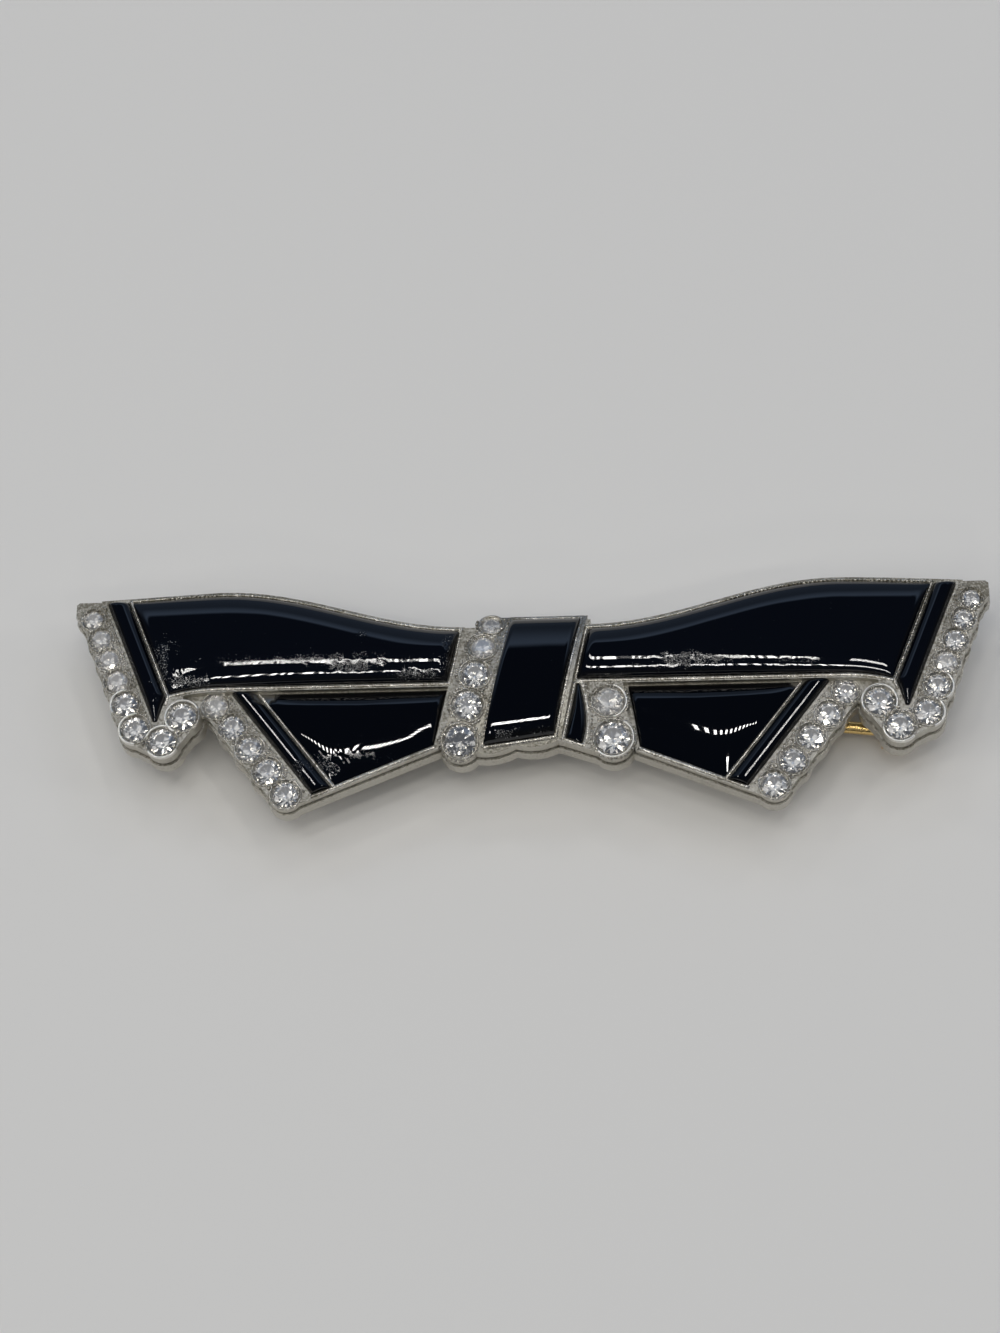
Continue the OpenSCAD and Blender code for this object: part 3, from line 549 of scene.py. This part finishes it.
body_mesh = nodes["frame"].data.copy()
solid = bmesh.new()
solid.from_mesh(body_mesh)
bmesh.ops.remove_doubles(solid, verts=solid.verts, dist=weld * MM)
bmesh.ops.dissolve_limit(solid, angle_limit=flat_angle, verts=solid.verts, edges=solid.edges)
for edge in solid.edges:
    edge.smooth = edge.calc_face_angle(math.pi) < sharp_angle
for face in solid.faces:
    face.smooth = True
solid.to_mesh(body_mesh)
solid.free()
body_mesh.materials.clear()
body_mesh.materials.append(metal)
body_mesh.materials.append(worked_metal_painted_shade)
# Faces that look up, on top and on the recesses' floors, take the worked metal: painted shade
faces_up_painted_shade = np.array([face.normal.z > 0.9 and face.center.z > foot_h * MM for face in body_mesh.polygons])
body_mesh.polygons.foreach_set("material_index", faces_up_painted_shade.astype(int))
body = bpy.data.objects.new("metal_frame", body_mesh)
scene.collection.objects.link(body)
bevel = body.modifiers.new("worn_edges", "BEVEL")
bevel.width = edge_round * MM
bevel.segments = 2
bevel.limit_method = "ANGLE"
bevel.angle_limit = sharp_angle
bevel.harden_normals = True
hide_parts("frame")
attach(body, BODY)

# Each stone sits in a collet: a low ring of metal with a bright bevel cut down to the
# stone. Where two stones meet, their collets share one straight ridge.
def ring_grid(count, rows):
    """Faces of a closed tube of rows points round and count points along."""
    a = np.arange(count)[:, None]
    b = np.arange(rows)[None, :]
    n = (a + 1) % count
    m = (b + 1) % rows
    return np.stack([a * rows + b, n * rows + b, n * rows + m, a * rows + m], -1).reshape(-1, 4)


def lattice_noise(points, size, seed):
    """Smooth random values between -1 and 1 on a cubic lattice of that size, blended."""
    table = np.random.default_rng(seed).uniform(-1, 1, 4096)
    scaled = np.asarray(points, float) / size
    cell = np.floor(scaled).astype(np.int64)
    part = scaled - cell
    part = part * part * (3 - 2 * part)
    total = np.zeros(scaled.shape[:-1])
    for corner in np.ndindex(*(2,) * scaled.shape[-1]):
        shift = np.array(corner)
        weight = np.prod(np.where(shift, part, 1 - part), axis=-1)
        index = (cell + shift) @ np.array([73, 179, 283])[: scaled.shape[-1]]
        total += weight * table[index % 4096]
    return total


stones = []
for side, word in ((LEFT, "left"), (RIGHT, "right")):
    for name, at, sizes, z in (("edge", edge_at, edge_d, wing_z), ("tail", tail_at, tail_d, tail_z)):
        for i, (spot, d) in enumerate(zip(at, sizes)):
            stones.append((f"{word}_{name}_stone_{i + 1}", np.array([side * spot[0], spot[1], z]), d, 0.0))
for i, (spot, d) in enumerate(zip(side_at, side_d)):
    stones.append((f"side_stone_{i + 1}", np.array([spot[0], spot[1], wing_z]), d, 0.0))
for i, (spot, d) in enumerate(zip(knot_at, knot_d)):
    tilt = math.asin((spot[1] - knot_y) / arch_r)
    spot = np.array([spot[0], knot_y + arch_r * math.sin(tilt), arch_z + arch_r * math.cos(tilt)])
    stones.append((f"knot_stone_{i + 1}", spot, d, tilt))

# Radius and height of a collet's section, from its outer foot over its ridge to its bevel:
# the radius is a share of the way out from the stone, and the height is in millimetres.
collet_section = np.array([
    (0.97, -0.25), (0.97, -0.02), (0.92, 0.03), (0.80, 0.07), (0.66, 0.085), (0.52, 0.075),
    (0.40, 0.04), (-0.05, -0.055), (-0.22, -0.075), (-0.18, -0.25),
])
ring_count = 56
between_collets, one_level, least_facing = 0.012, 0.8, 0.05
wobble_size, wobble_h = 0.35, 0.018


def tilted(points, tilt):
    """Turns points about X, as the knot's stones lean with its arch."""
    c, s = math.cos(-tilt), math.sin(-tilt)
    x, y, z = points[..., 0], points[..., 1], points[..., 2]
    return np.stack([x, c * y - s * z, s * y + c * z], -1)


def collet_reach(index, angles):
    """Outer radius of a collet: a circle, cut by the line midway to each neighbour."""
    _, spot, d, _ = stones[index]
    full = d / 2 + collet_w
    reach = np.full(angles.shape, full - between_collets)
    for other, (_, there, other_d, _) in enumerate(stones):
        gap = there[:2] - spot[:2]
        distance = math.hypot(*gap)
        other_full = other_d / 2 + collet_w
        if other != index and distance < full + other_full and abs(there[2] - spot[2]) < one_level:
            middle_way = (distance**2 + full**2 - other_full**2) / (2 * distance)
            facing = np.cos(angles - math.atan2(gap[1], gap[0]))
            cut = np.minimum(reach, middle_way / np.maximum(facing, least_facing))
            reach = np.where(facing > least_facing, cut, reach)
    return reach


points, faces = [], []
angles = np.linspace(0, 2 * np.pi, ring_count, endpoint=False)
for index, (name, spot, d, tilt) in enumerate(stones):
    reach = collet_reach(index, angles)[:, None]
    share, lift = collet_section[:, 0], collet_section[:, 1]
    radius = d / 2 + share * (reach - d / 2)
    ring = np.stack([
        radius * np.cos(angles)[:, None],
        radius * np.sin(angles)[:, None],
        np.broadcast_to(lift, radius.shape) + 0 * radius,
    ], -1)
    wobble = lattice_noise(ring + spot, wobble_size, 5)
    ring[..., 2] += wobble_h * wobble * (share > 0)
    ring = tilted(ring, tilt) + spot
    faces.append(ring_grid(ring_count, len(collet_section)) + sum(map(len, points)))
    points.append(ring.reshape(-1, 3))
bright_tone, bright_dirt = rgba(0.66, 0.635, 0.585), rgba(0.19, 0.175, 0.135)
bright_metal = metal_shader("bright_cut_platinum", bright_tone, bright_dirt, 0.14, 1.0, 0.46)
collets = add_mesh("collets", np.vstack(points), np.vstack(faces), bright_metal)
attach(collets, BODY)

# The rims between the onyx panels are thin drawn wire, soldered along the frame's edges
# and worn flat in places. Some of them are beaded with a fine knurl.
def outward(path):
    """Unit normals to the right of a path in the plane, mitred at its corners."""
    a = path - np.vstack([path[:1], path[:-1]])
    b = np.vstack([path[1:], path[-1:]]) - path
    a = a / np.maximum(np.linalg.norm(a, axis=1, keepdims=True), 1e-9)
    b = b / np.maximum(np.linalg.norm(b, axis=1, keepdims=True), 1e-9)
    total = a + b
    along = total / np.linalg.norm(total, axis=1, keepdims=True)
    near = np.where(np.linalg.norm(a, axis=1, keepdims=True) > 0.5, a, b)
    bend = np.clip((along * near).sum(1, keepdims=True), 0.5, 1)
    return np.stack([along[:, 1], -along[:, 0]], 1) / bend


def even(path, pitch):
    """The same path with points a pitch apart, its corners kept."""
    pieces = []
    for first, last in zip(path[:-1], path[1:]):
        count = max(1, int(round(np.linalg.norm(last - first) / pitch)))
        pieces.append(np.linspace(first, last, count, endpoint=False))
    return np.vstack(pieces + [path[-1:]])


rail_pitch, rail_sunk = 0.12, 0.12


def rail(path, height_at, half_width, rise, seed):
    """A half-round rail along a path: its section is half an ellipse on short walls."""
    path = even(np.asarray(path, float), rail_pitch)
    side = outward(path)
    angle = np.linspace(0, np.pi, 9)
    across = np.concatenate([[1], np.cos(angle), [-1]]) * half_width
    lift = np.concatenate([[-rail_sunk], np.sin(angle) * rise, [-rail_sunk]])
    worn = 1 + 0.35 * lattice_noise(path, 0.5, seed)[:, None] * (lift > 0)
    xy = path[:, None, :] + side[:, None, :] * across[None, :, None]
    z = height_at(xy[..., 1]) + lift * worn
    points = np.concatenate([xy, z[..., None]], -1)
    rows = len(across)
    a = np.arange(len(path) - 1)[:, None]
    b = np.arange(rows - 1)[None, :]
    near, far = a * rows + b, (a + 1) * rows + b
    faces = np.stack([near, near + 1, far + 1, far], -1).reshape(-1, 4)
    near, far = a[:, 0] * rows, (a[:, 0] + 1) * rows
    under = np.stack([near + rows - 1, near, far, far + rows - 1], -1)
    ends = [tuple(range(rows - 1, -1, -1)), tuple(range((len(path) - 1) * rows, len(path) * rows))]
    return points.reshape(-1, 3), [*map(tuple, faces), *map(tuple, under), *ends]


def at_wing(y):
    """Height of the wings' metal, level."""
    return np.full(np.shape(y), wing_z)


def at_tail(y):
    """Height of the tails' metal, level."""
    return np.full(np.shape(y), tail_z)


# Each rail is its path, the height of the metal below it, its half width and its rise
rails = []
for side in (LEFT, RIGHT):
    mirror = np.array([side, 1])
    low, high = loop_sides(side, 60)
    rails.append((np.vstack([high[::-1], low]) * mirror, at_wing, 0.10, 0.06))
    rails.append((band_sides(24)[1][4:] * mirror, at_wing, 0.10, 0.08))
    low, high = tail_sides(side, 4)
    outer, inner = tail_band_sides(4)
    rails.append((np.vstack([outer[:1], low[::-1]]) * mirror, at_tail, 0.10, 0.06))
    rails.append((inner * mirror, at_tail, 0.10, 0.07))
low, high = knot_sides(12)
rails.append((np.vstack([low, high[::-1], low[:1]]), arch, 0.11, 0.07))
right_line, left_line = sliver_sides(20)
rails.append((np.vstack([left_line[-1:], right_line[::-1], left_line]), at_wing, 0.09, 0.05))

# Bright-cut arcs round some stones, raised in a near-white metal that paints their highlight on the stretch
# of each ring that shines: stone, and the angles in degrees between which it runs
bright_arcs = [
    ("left_edge_stone_5", 95, 215), ("left_edge_stone_6", 85, 215), ("left_edge_stone_7", 60, 165),
    ("left_edge_stone_8", 25, 245), ("left_edge_stone_7", 215, 330), ("left_edge_stone_6", 200, 270),
    ("right_edge_stone_8", -25, 215), ("right_edge_stone_7", 185, 320), ("right_edge_stone_6", -70, 60),
    ("right_edge_stone_5", -60, 50), ("side_stone_1", -75, 75), ("side_stone_2", -140, 60),
]
arc_off = collet_w * 0.72
arcs = []
for name, spot, d, tilt in stones:
    for arc_name, first, last in bright_arcs:
        if arc_name == name:
            turn = np.radians(np.linspace(first, last, 40))[::-1]
            around = spot[:2] + (d / 2 + arc_off) * np.stack([np.cos(turn), np.sin(turn)], 1)
            arcs.append((around, at_wing, 0.08, 0.13))

# Near white, lighter than the platinum round it: a painted highlight
arc_painted_highlight_tone, arc_painted_highlight_stain = rgba(0.92, 0.90, 0.85), rgba(0.60, 0.57, 0.50)
polished = metal_shader("platinum_painted_highlight", arc_painted_highlight_tone, arc_painted_highlight_stain, 0.22, 0.4, 0.62)
for name, some_rails, its_metal in (("rim_rails", rails, bright_metal), ("bright_arcs", arcs, polished)):
    points, faces, start = [], [], 0
    for seed, (path, height_at, half_width, rise) in enumerate(some_rails):
        some, more = rail(path, height_at, half_width, rise, seed)
        points.append(some)
        faces += [tuple(int(k) + start for k in f) for f in more]
        start += len(some)
    wires = add_mesh(name, np.vstack(points), faces, its_metal)
    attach(wires, BODY)

# Small beads: grains pushed over each stone's edge and between the stones, and a row of
# beading rolled along some rims. Each is a low dome of its own size.
def bead_domes(centres, radii):
    """Points and faces of low domes: two rings of six points and a top."""
    a = np.arange(6) * np.pi / 3
    ring = np.stack([np.cos(a), np.sin(a)], 1)
    shape = np.vstack([
        np.column_stack([ring, np.full(6, -0.35)]),
        np.column_stack([0.72 * ring, np.full(6, 0.55)]),
        [[0, 0, 0.85]],
    ])
    points = centres[:, None, :] + radii[:, None, None] * shape
    k = np.arange(6)
    n = (k + 1) % 6
    sides = np.stack([k, n, 6 + n, 6 + k], 1)
    caps = np.stack([6 + k, 6 + n, np.full(6, 12), np.full(6, 12)], 1)
    some = np.vstack([sides, caps])
    faces = (some + 13 * np.arange(len(centres))[:, None, None]).reshape(-1, 4)
    return points.reshape(-1, 3), [tuple(dict.fromkeys(f)) for f in faces.tolist()]


def along_path(path, pitch):
    """Points a pitch apart along a path."""
    path = np.asarray(path, float)
    run = np.concatenate([[0], np.cumsum(np.linalg.norm(np.diff(path, axis=0), axis=1))])
    at = np.arange(pitch / 2, run[-1], pitch)
    return np.stack([np.interp(at, run, path[:, k]) for k in range(2)], 1)


dice = np.random.default_rng(4)
centres, radii = [], []
GRAINS = 7
close_stones = 0.45
grain_r, between_r, strip_r = (0.075, 0.115), (0.10, 0.15), (0.08, 0.125)
for index, (name, spot, d, tilt) in enumerate(stones):
    angle = dice.uniform(0, 2 * np.pi) + np.arange(GRAINS) * 2 * np.pi / GRAINS
    angle = angle + dice.uniform(-0.2, 0.2, GRAINS)
    reach = collet_reach(index, angle)
    radius = d / 2 + np.minimum(0.05, (reach - d / 2) * 0.4)
    grain = np.stack([radius * np.cos(angle), radius * np.sin(angle), np.full(GRAINS, -0.01)], 1)
    centres.append(tilted(grain, tilt) + spot)
    radii.append(dice.uniform(*grain_r, GRAINS))
for (name, spot, d, _), (other_name, there, other_d, _) in zip(stones[:-1], stones[1:]):
    gap = there - spot
    distance = math.hypot(gap[0], gap[1])
    if distance < (d + other_d) / 2 + close_stones and name[:-1] == other_name[:-1]:
        across = np.array([-gap[1], gap[0], 0]) / distance
        half_way = spot + gap * (d / 2 + (distance - (d + other_d) / 2) / 2) / distance
        for sign in (-1, 1):
            for share in (0.46, 0.72):
                centres.append((half_way + sign * across * share * (d + other_d) / 4 + (0, 0, 0.02))[None])
                radii.append(dice.uniform(*between_r, 1) * (1.15 - 0.3 * share))

# Metal raised with the graver fills the strip between the stones and the onyx band
strip_pitch, strip_room = 0.21, 0.2
strip_lanes = (0.12, 0.31, 0.5)
edge_strip = (edge_at[:straight_count], edge_d, wing_z, band_off)
tail_strip = (tail_at, tail_d, tail_z, tail_band_off)
for at, sizes, z, off in (edge_strip, tail_strip):
    run = at[-1] - at[0]
    length = math.hypot(*run)
    along = run / length
    inward = np.array([along[1], -along[0]])
    for side in (LEFT, RIGHT):
        for lane in strip_lanes:
            t = np.arange(-0.9, length + 0.6, strip_pitch) + dice.uniform(-0.06, 0.06)
            t = t + dice.uniform(-0.05, 0.05, len(t))
            inwards = off - lane + dice.uniform(-0.03, 0.03, len(t))
            spot = at[0] + t[:, None] * along + inwards[:, None] * inward
            room = np.linalg.norm(spot[:, None] - at[None], axis=2) - sizes[: len(at)] / 2
            spot = spot[(room.min(1) > strip_room) & (spot[:, 1] < corner_y - 0.1)]
            centres.append(np.column_stack([spot * (side, 1), np.full(len(spot), z - 0.01)]))
            radii.append(dice.uniform(*strip_r, len(spot)))

# It also rings the knot's stones and the two beside them, up to the panels' rims
ring_off, ring_room, rim_room, top_room = (0.24, 0.32), 0.17, 0.3, 0.15
stone_xy = np.array([spot[:2] for _, spot, _, _ in stones])
stone_r = np.array([d for _, _, d, _ in stones]) / 2
for name, spot, d, tilt in stones:
    if name.startswith(("knot", "side")):
        count = int(2 * math.pi * (d / 2 + 0.3) / strip_pitch)
        angle = np.arange(count) * 2 * math.pi / count + dice.uniform(-0.1, 0.1, count)
        reach = d / 2 + dice.uniform(*ring_off, count)
        ring = np.stack([reach * np.cos(angle), reach * np.sin(angle), np.full(count, -0.02)], 1)
        ring = tilted(ring, tilt) + spot
        room = np.linalg.norm(ring[:, None, :2] - stone_xy, axis=2) - stone_r
        kept = (room.min(1) > ring_room) & (ring[:, 1] < knot_top - top_room)
        if name.startswith("knot"):
            kept &= ring[:, 0] < knot_left(ring[:, 1]) - rim_room
        ring = ring[kept]
        centres.append(ring)
        radii.append(dice.uniform(*strip_r, len(ring)))

# Beaded rims: each is its path, the height of the metal below it, and its beads' lift
bead_pitch, bead_r = 0.27, 0.105
low, high = knot_sides(12)
knot_left_rim = np.vstack([low[:1], high[:1]])
beaded = [
    (loop_sides(RIGHT, 60)[1][24:], at_wing, 0.05),
    (band_sides(24)[1][6:], at_wing, 0.05),
    (knot_left_rim - (0.1, 0), arch, 0.03),
    (sliver_sides(20)[0] + (0.24, 0), at_wing, 0.02),
    (loop_sides(LEFT, 60)[1][44:54] * (-1, 1), at_wing, 0.05),
]
for path, height_at, lift in beaded:
    xy = along_path(path, bead_pitch)
    centres.append(np.column_stack([xy, height_at(xy[:, 1]) + lift]))
    radii.append(bead_r * dice.uniform(0.85, 1.1, len(xy)))
points, faces = bead_domes(np.vstack(centres), np.concatenate(radii))
grains = add_mesh("grains", points, faces, bright_metal)
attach(grains, BODY)

# The stones are round brilliants, cut with a table, eight stars, kites and long lower
# facets. Each one is turned its own way in its seat. Some are dull with wear and grime.
diamonds = {}
dull_stones = {
    "left_edge_stone_1", "left_edge_stone_2", "left_edge_stone_3", "left_edge_stone_4", "left_tail_stone_1",
    "knot_stone_1", "knot_stone_2", "side_stone_1", "right_edge_stone_4",
}
diamond_tone = rgba(0.97, 0.945, 0.89)
for name, clarity, rough in (("diamond", 0.91, 0.03), ("dull_diamond", 0.82, 0.07)):
    material, shader = new_shader(name)
    shader.finish({
        "Base Color": diamond_tone,
        "Roughness": rough,
        "IOR": 2.42,
        "Transmission Weight": clarity,
    })
    diamonds[name] = material


def brilliant(d, turn):
    """Points and faces of a brilliant on its girdle: rings of 8 and 16 corners."""
    r = d / 2
    eighth = np.arange(8) * np.pi / 4 + turn
    half = eighth + np.pi / 8
    round_16 = np.arange(16) * np.pi / 8 + turn

    def ring(radius, a, z):
        return np.stack([radius * np.cos(a), radius * np.sin(a), np.full(a.shape, z)], 1)

    table_r, star_r, low_r = 0.56 * r, 0.76 * r, 0.3 * r
    crown_h, girdle_h, depth = 0.15 * d, 0.015 * d, 0.42 * d
    star_z = crown_h + (girdle_h - crown_h) * (star_r * math.cos(math.pi / 8) - table_r) / (r - table_r)
    low_z = -depth + (depth - girdle_h) * low_r * math.cos(math.pi / 8) / r
    points = np.vstack([
        ring(table_r, eighth, crown_h), ring(star_r, half, star_z), ring(r, round_16, girdle_h),
        ring(r, round_16, -girdle_h), ring(low_r, half, low_z), [[0, 0, -depth]],
    ])
    faces = [tuple(range(8))]
    for k in range(8):
        n, p = (k + 1) % 8, (k + 7) % 8
        g, h, past = 16 + 2 * k, 32 + 2 * k, (2 * k + 2) % 16
        faces += [(n, k, 8 + k), (k, 8 + p, g, 8 + k), (8 + k, g, g + 1), (8 + k, g + 1, 16 + past)]
        faces += [(48 + k, h + 1, h), (48 + k, 32 + past, h + 1), (56, 48 + k, h, 48 + p)]
    for k in range(16):
        n = (k + 1) % 16
        faces.append((16 + n, 16 + k, 32 + k, 32 + n))
    return points, faces


turns = np.random.default_rng(11).uniform(0, math.pi / 4, len(stones))
for (name, spot, d, tilt), turn in zip(stones, turns):
    points, faces = brilliant(d, turn)
    points = tilted(points - (0, 0, girdle_drop), tilt) + spot
    cut = diamonds["dull_diamond" if name in dull_stones else "diamond"]
    stone = add_mesh(name + "_cut", points, faces, cut, smooth=False)
    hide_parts(name)
    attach(stone, BODY)

# The onyx panels are domed and polished, cut to the frame's openings with round edges.
# They are chipped, pitted and scuffed in places.
def onyx_shader():
    """Black mirror: scuffed and pitted where the wear is high, metal where it is bare."""
    material, shader = new_shader("polished_onyx")
    place = shader.node("ShaderNodeTexCoord", output="Object")
    wear = shader.node("ShaderNodeAttribute", output="Fac", attribute_name="wear")
    bare = shader.node("ShaderNodeAttribute", output="Fac", attribute_name="bare")
    fine = shader.noise(place, 0.10, 4, 0.65)
    speck = shader.noise(place, 0.09, 1, 0.5)
    worn = (wear * 0.5 + fine * 0.9 + speck * 0.6 - 1.0).ramp(0.0, 0.34)
    ripple = shader.noise(place, 0.42, 1)
    height = ripple * 0.05 + worn * speck * 5 + wear * wear * fine * 4
    bump = shader.node("ShaderNodeBump", {"Strength": 0.5, "Distance": 0.01 * MM, "Height": height})
    flecks = worn * speck.ramp(0.60, 0.66)
    black = shader.colour(rgba(0.0014, 0.0019, 0.0038), rgba(0.42, 0.42, 0.40), flecks)
    shader.finish({
        "Base Color": shader.colour(black, rgba(0.42, 0.40, 0.36), bare),
        "Metallic": bare,
        "Roughness": (0.02 + worn * 0.07 + bare * 0.3),
        "IOR": 1.54,
        "Normal": bump,
    })
    return material


onyx = onyx_shader()

# Worn places of the onyx: middle, half length and width along X and Y, depth of the pits,
# and how scuffed the face is. Chips, where metal shows, have a middle and half sizes.
worn_places = [
    (-13.5, 2.15, 7.0, 0.30, 0.01, 0.46),
    (-23.1, 2.1, 0.9, 1.8, 0.06, 0.75),
    (-21.5, 0.9, 1.6, 0.5, 0.05, 0.60),
    (-10.9, 1.65, 2.2, 0.35, 0.05, 0.62),
    (-6.9, 1.0, 1.6, 0.3, 0.04, 0.65),
    (-5.0, 2.2, 0.5, 1.3, 0.03, 0.55),
    (-10.4, 3.65, 0.35, 0.25, 0.02, 0.60),
    (9.3, 1.45, 1.9, 0.50, 0.05, 0.85),
    (11.2, 1.45, 1.4, 0.30, 0.03, 0.65),
    (16.9, 1.25, 1.6, 0.15, 0.02, 0.45),
    (-12.7, -4.4, 1.3, 0.6, 0.03, 0.64),
    (-9.6, -4.1, 2.0, 0.3, 0.008, 0.44),
    (-14.3, -5.0, 0.5, 1.2, 0.06, 0.80),
    (-1.2, -3.15, 0.9, 0.32, 0.04, 0.80),
    (0.4, -3.05, 1.0, 0.22, 0.03, 0.60),
]
chips = [(-16.55, 0.1, 0.75, 0.5), (16.6, 0.15, 0.35, 0.28)]


def wear_at(xy):
    """Depth of the pits, scuffing and bare metal at places of the onyx."""
    depth, scuff = np.zeros(xy.shape[:-1]), np.zeros(xy.shape[:-1])
    edge = 0.6 * lattice_noise(xy, 0.45, 21) + 0.4 * lattice_noise(xy, 0.18, 22)
    for x, y, half_x, half_y, deep, strength in worn_places:
        away = np.hypot((xy[..., 0] - x) / half_x, (xy[..., 1] - y) / half_y)
        inside = np.clip(1.3 - away + edge, 0, 1) ** 1.4
        depth = np.maximum(depth, deep * inside)
        scuff = np.maximum(scuff, strength * inside)
    bare = np.zeros(xy.shape[:-1])
    for x, y, half_x, half_y in chips:
        away = np.hypot((xy[..., 0] - x) / half_x, (xy[..., 1] - y) / half_y)
        bare = np.maximum(bare, np.clip((1.1 - away + 0.5 * edge) * 3, 0, 1))
    pits = np.clip(lattice_noise(xy, 0.22, 23) + 0.6 * lattice_noise(xy, 0.11, 24), 0, 1)
    return depth * pits, scuff, bare


def inset(ring, distance):
    """A closed ring of points moved inwards, mitred at its corners."""
    a = ring - np.roll(ring, 1, axis=0)
    b = np.roll(ring, -1, axis=0) - ring
    n1 = np.stack([-a[:, 1], a[:, 0]], 1) / np.linalg.norm(a, axis=1, keepdims=True)
    n2 = np.stack([-b[:, 1], b[:, 0]], 1) / np.linalg.norm(b, axis=1, keepdims=True)
    return ring + distance * (n1 + n2) / (1 + (n1 * n2).sum(1, keepdims=True))


def dome(distance, width, power):
    """Rise from a panel's edge: a quarter of a superellipse, flat past the width."""
    t = np.clip(distance / width, 0, 1)
    return (1 - (1 - t) ** power) ** (1 / power)


def onyx_panel(name, sides, edge_z, crown, widths, grid, power=2.0, fall=0.0, arched=False, mirror=RIGHT):
    """A domed panel: a grid between its two lines, raised by its crown times the rise from
    each of its four edges, with upright walls and a flat underside. widths are those of its
    round edges along the low line, the high line, the first end and the last one. fall is the
    share of its crown that it loses towards its last end."""
    low, high = sides
    columns, rows = grid
    count = len(low) - 1
    ring = inset(np.vstack([low, high[::-1]]), rim_w / 2 + seat_gap)
    low, high = ring[: count + 1], ring[count + 1 :][::-1]
    s = np.linspace(0, 1, columns + 1)
    # Columns crowd towards both ends, and rows towards both lines
    u = (s - 0.8 * np.sin(2 * np.pi * s) / (2 * np.pi)) * count
    at = np.arange(count + 1)
    low = np.stack([np.interp(u, at, low[:, k]) for k in (0, 1)], 1)
    high = np.stack([np.interp(u, at, high[:, k]) for k in (0, 1)], 1)
    v = (1 - np.cos(np.pi * np.linspace(0, 1, rows + 1))) / 2
    xy = low[:, None] + (high - low)[:, None] * v[None, :, None]
    breadth = np.linalg.norm(high - low, axis=1)[:, None]
    mid = (low + high) / 2
    run = np.concatenate([[0], np.cumsum(np.linalg.norm(np.diff(mid, axis=0), axis=1))])
    ends = dome(run, widths[2], 2.6) * dome(run[-1] - run, widths[3], 2.8)
    base = arch(xy[..., 1]) - girdle_drop / 2 if arched else edge_z
    share = np.clip(run / run[-1] - 0.35, 0, 1)[:, None] / 0.65
    rise = dome(v * breadth, widths[0], power) * dome((1 - v) * breadth, widths[1], power)
    z = base + crown * (1 - fall * share**2) * rise * ends[:, None]
    world_xy = xy * (mirror, 1)
    pits, scuff, bare = wear_at(world_xy)
    z = z - pits - 0.55 * bare * (z - base) + 0.004 * lattice_noise(world_xy, 1.4, 31)
    top = np.concatenate([xy, np.broadcast_to(z[..., None], xy.shape[:2] + (1,))], -1).reshape(-1, 3)
    top[:, 0] *= mirror
    n, m = columns + 1, rows + 1
    index = np.arange(n * m).reshape(n, m)
    quads = np.stack([index[:-1, :-1], index[1:, :-1], index[1:, 1:], index[:-1, 1:]], -1).reshape(-1, 4)
    rim = np.concatenate([index[:, 0], index[-1, 1:], index[-2::-1, -1], index[0, -2:0:-1]])
    under = top[rim] * (1, 1, 0) + (0, 0, floor_z + seat_gap)
    first = len(top)
    k = np.arange(len(rim))
    after = (k + 1) % len(rim)
    walls = np.stack([rim[after], rim, first + k, first + after], -1)
    centre = first + len(rim)
    fan = np.stack([first + after, first + k, np.full(len(k), centre)], -1)
    points = np.vstack([top, under, under.mean(0, keepdims=True)])
    faces = [*map(tuple, quads), *map(tuple, walls), *map(tuple, fan)]
    if mirror == LEFT:
        faces = [f[::-1] for f in faces]
    panel = add_mesh(name + "_dome", points, faces, onyx)
    below = np.zeros(len(points) - len(top))
    for word, amount in (("wear", scuff), ("bare", bare)):
        shown = panel.data.attributes.new(word, "FLOAT", "POINT")
        shown.data.foreach_set("value", np.concatenate([amount.ravel(), below]))
    named = [word for word in row_words if word in name]
    group = "tail_bands" if "tail_band" in name else (named + ["loops"])[0]
    row_lit[group].objects.link(panel)
    spared.objects.link(panel)
    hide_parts(name)
    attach(panel, BODY)


# Each panel is its name, its lines, the height of its edge, its crown, the widths of its
# round edges, its grid, the power of its dome and its fall
band_ends = (0.4, 0.4)
band_widths = (band_w / 2, band_w / 2, *band_ends)
tail_band_widths = (tail_band_w / 2, tail_band_w / 2, *band_ends)
sliver_widths = (sliver_w / 2, sliver_w / 2, *band_ends)
for side, word in ((LEFT, "left"), (RIGHT, "right")):
    for name, *values in (
        ("loop_panel", loop_sides(side, 160), wing_z, 1.15, (2.2, 2.3, 0.8, 0.9), (220, 64), 2.0, 0.42),
        ("edge_band", band_sides(80), wing_z, 0.55, band_widths, (100, 24)),
        ("tail_panel", tail_sides(side, 80), tail_z, 0.75, (4.0, 1.3, 0.5, 3.0), (140, 48), 1.4, 0.4),
        ("tail_band", tail_band_sides(80), tail_z, 0.55, tail_band_widths, (100, 24)),
    ):
        onyx_panel(f"{word}_{name}", *values, mirror=side)
onyx_panel("knot_panel", knot_sides(60), wing_z, 0.75, (1.6, 1.0, 0.5, 0.5), (80, 96), arched=True)
onyx_panel("knot_side_sliver", sliver_sides(60), wing_z, 0.33, sliver_widths, (60, 20))

# The hinge, the pin and its catch are yellow gold, turned and bent from wire and sheet and
# soldered to the back. They keep the frame's own shapes and are polished.
gold_tone, gold_shade = rgba(0.95, 0.68, 0.28), rgba(0.66, 0.42, 0.15)
gold = metal_shader("polished_gold", gold_tone, gold_shade, 0.1, 0.12, 0.6)
for name in ("hinge_bracket", "catch", "pin_stem"):
    nodes[name].data.materials.clear()
    nodes[name].data.materials.append(gold)

# The lamps spare the onyx, and each row of tiny lamps lights its own onyx pieces alone.
for piece in spared.collection_objects:
    piece.light_linking.link_state = "EXCLUDE"
for group in row_lit.values():
    for piece in group.collection_objects:
        piece.light_linking.link_state = "INCLUDE"
scene.view_settings.view_transform = "Standard"
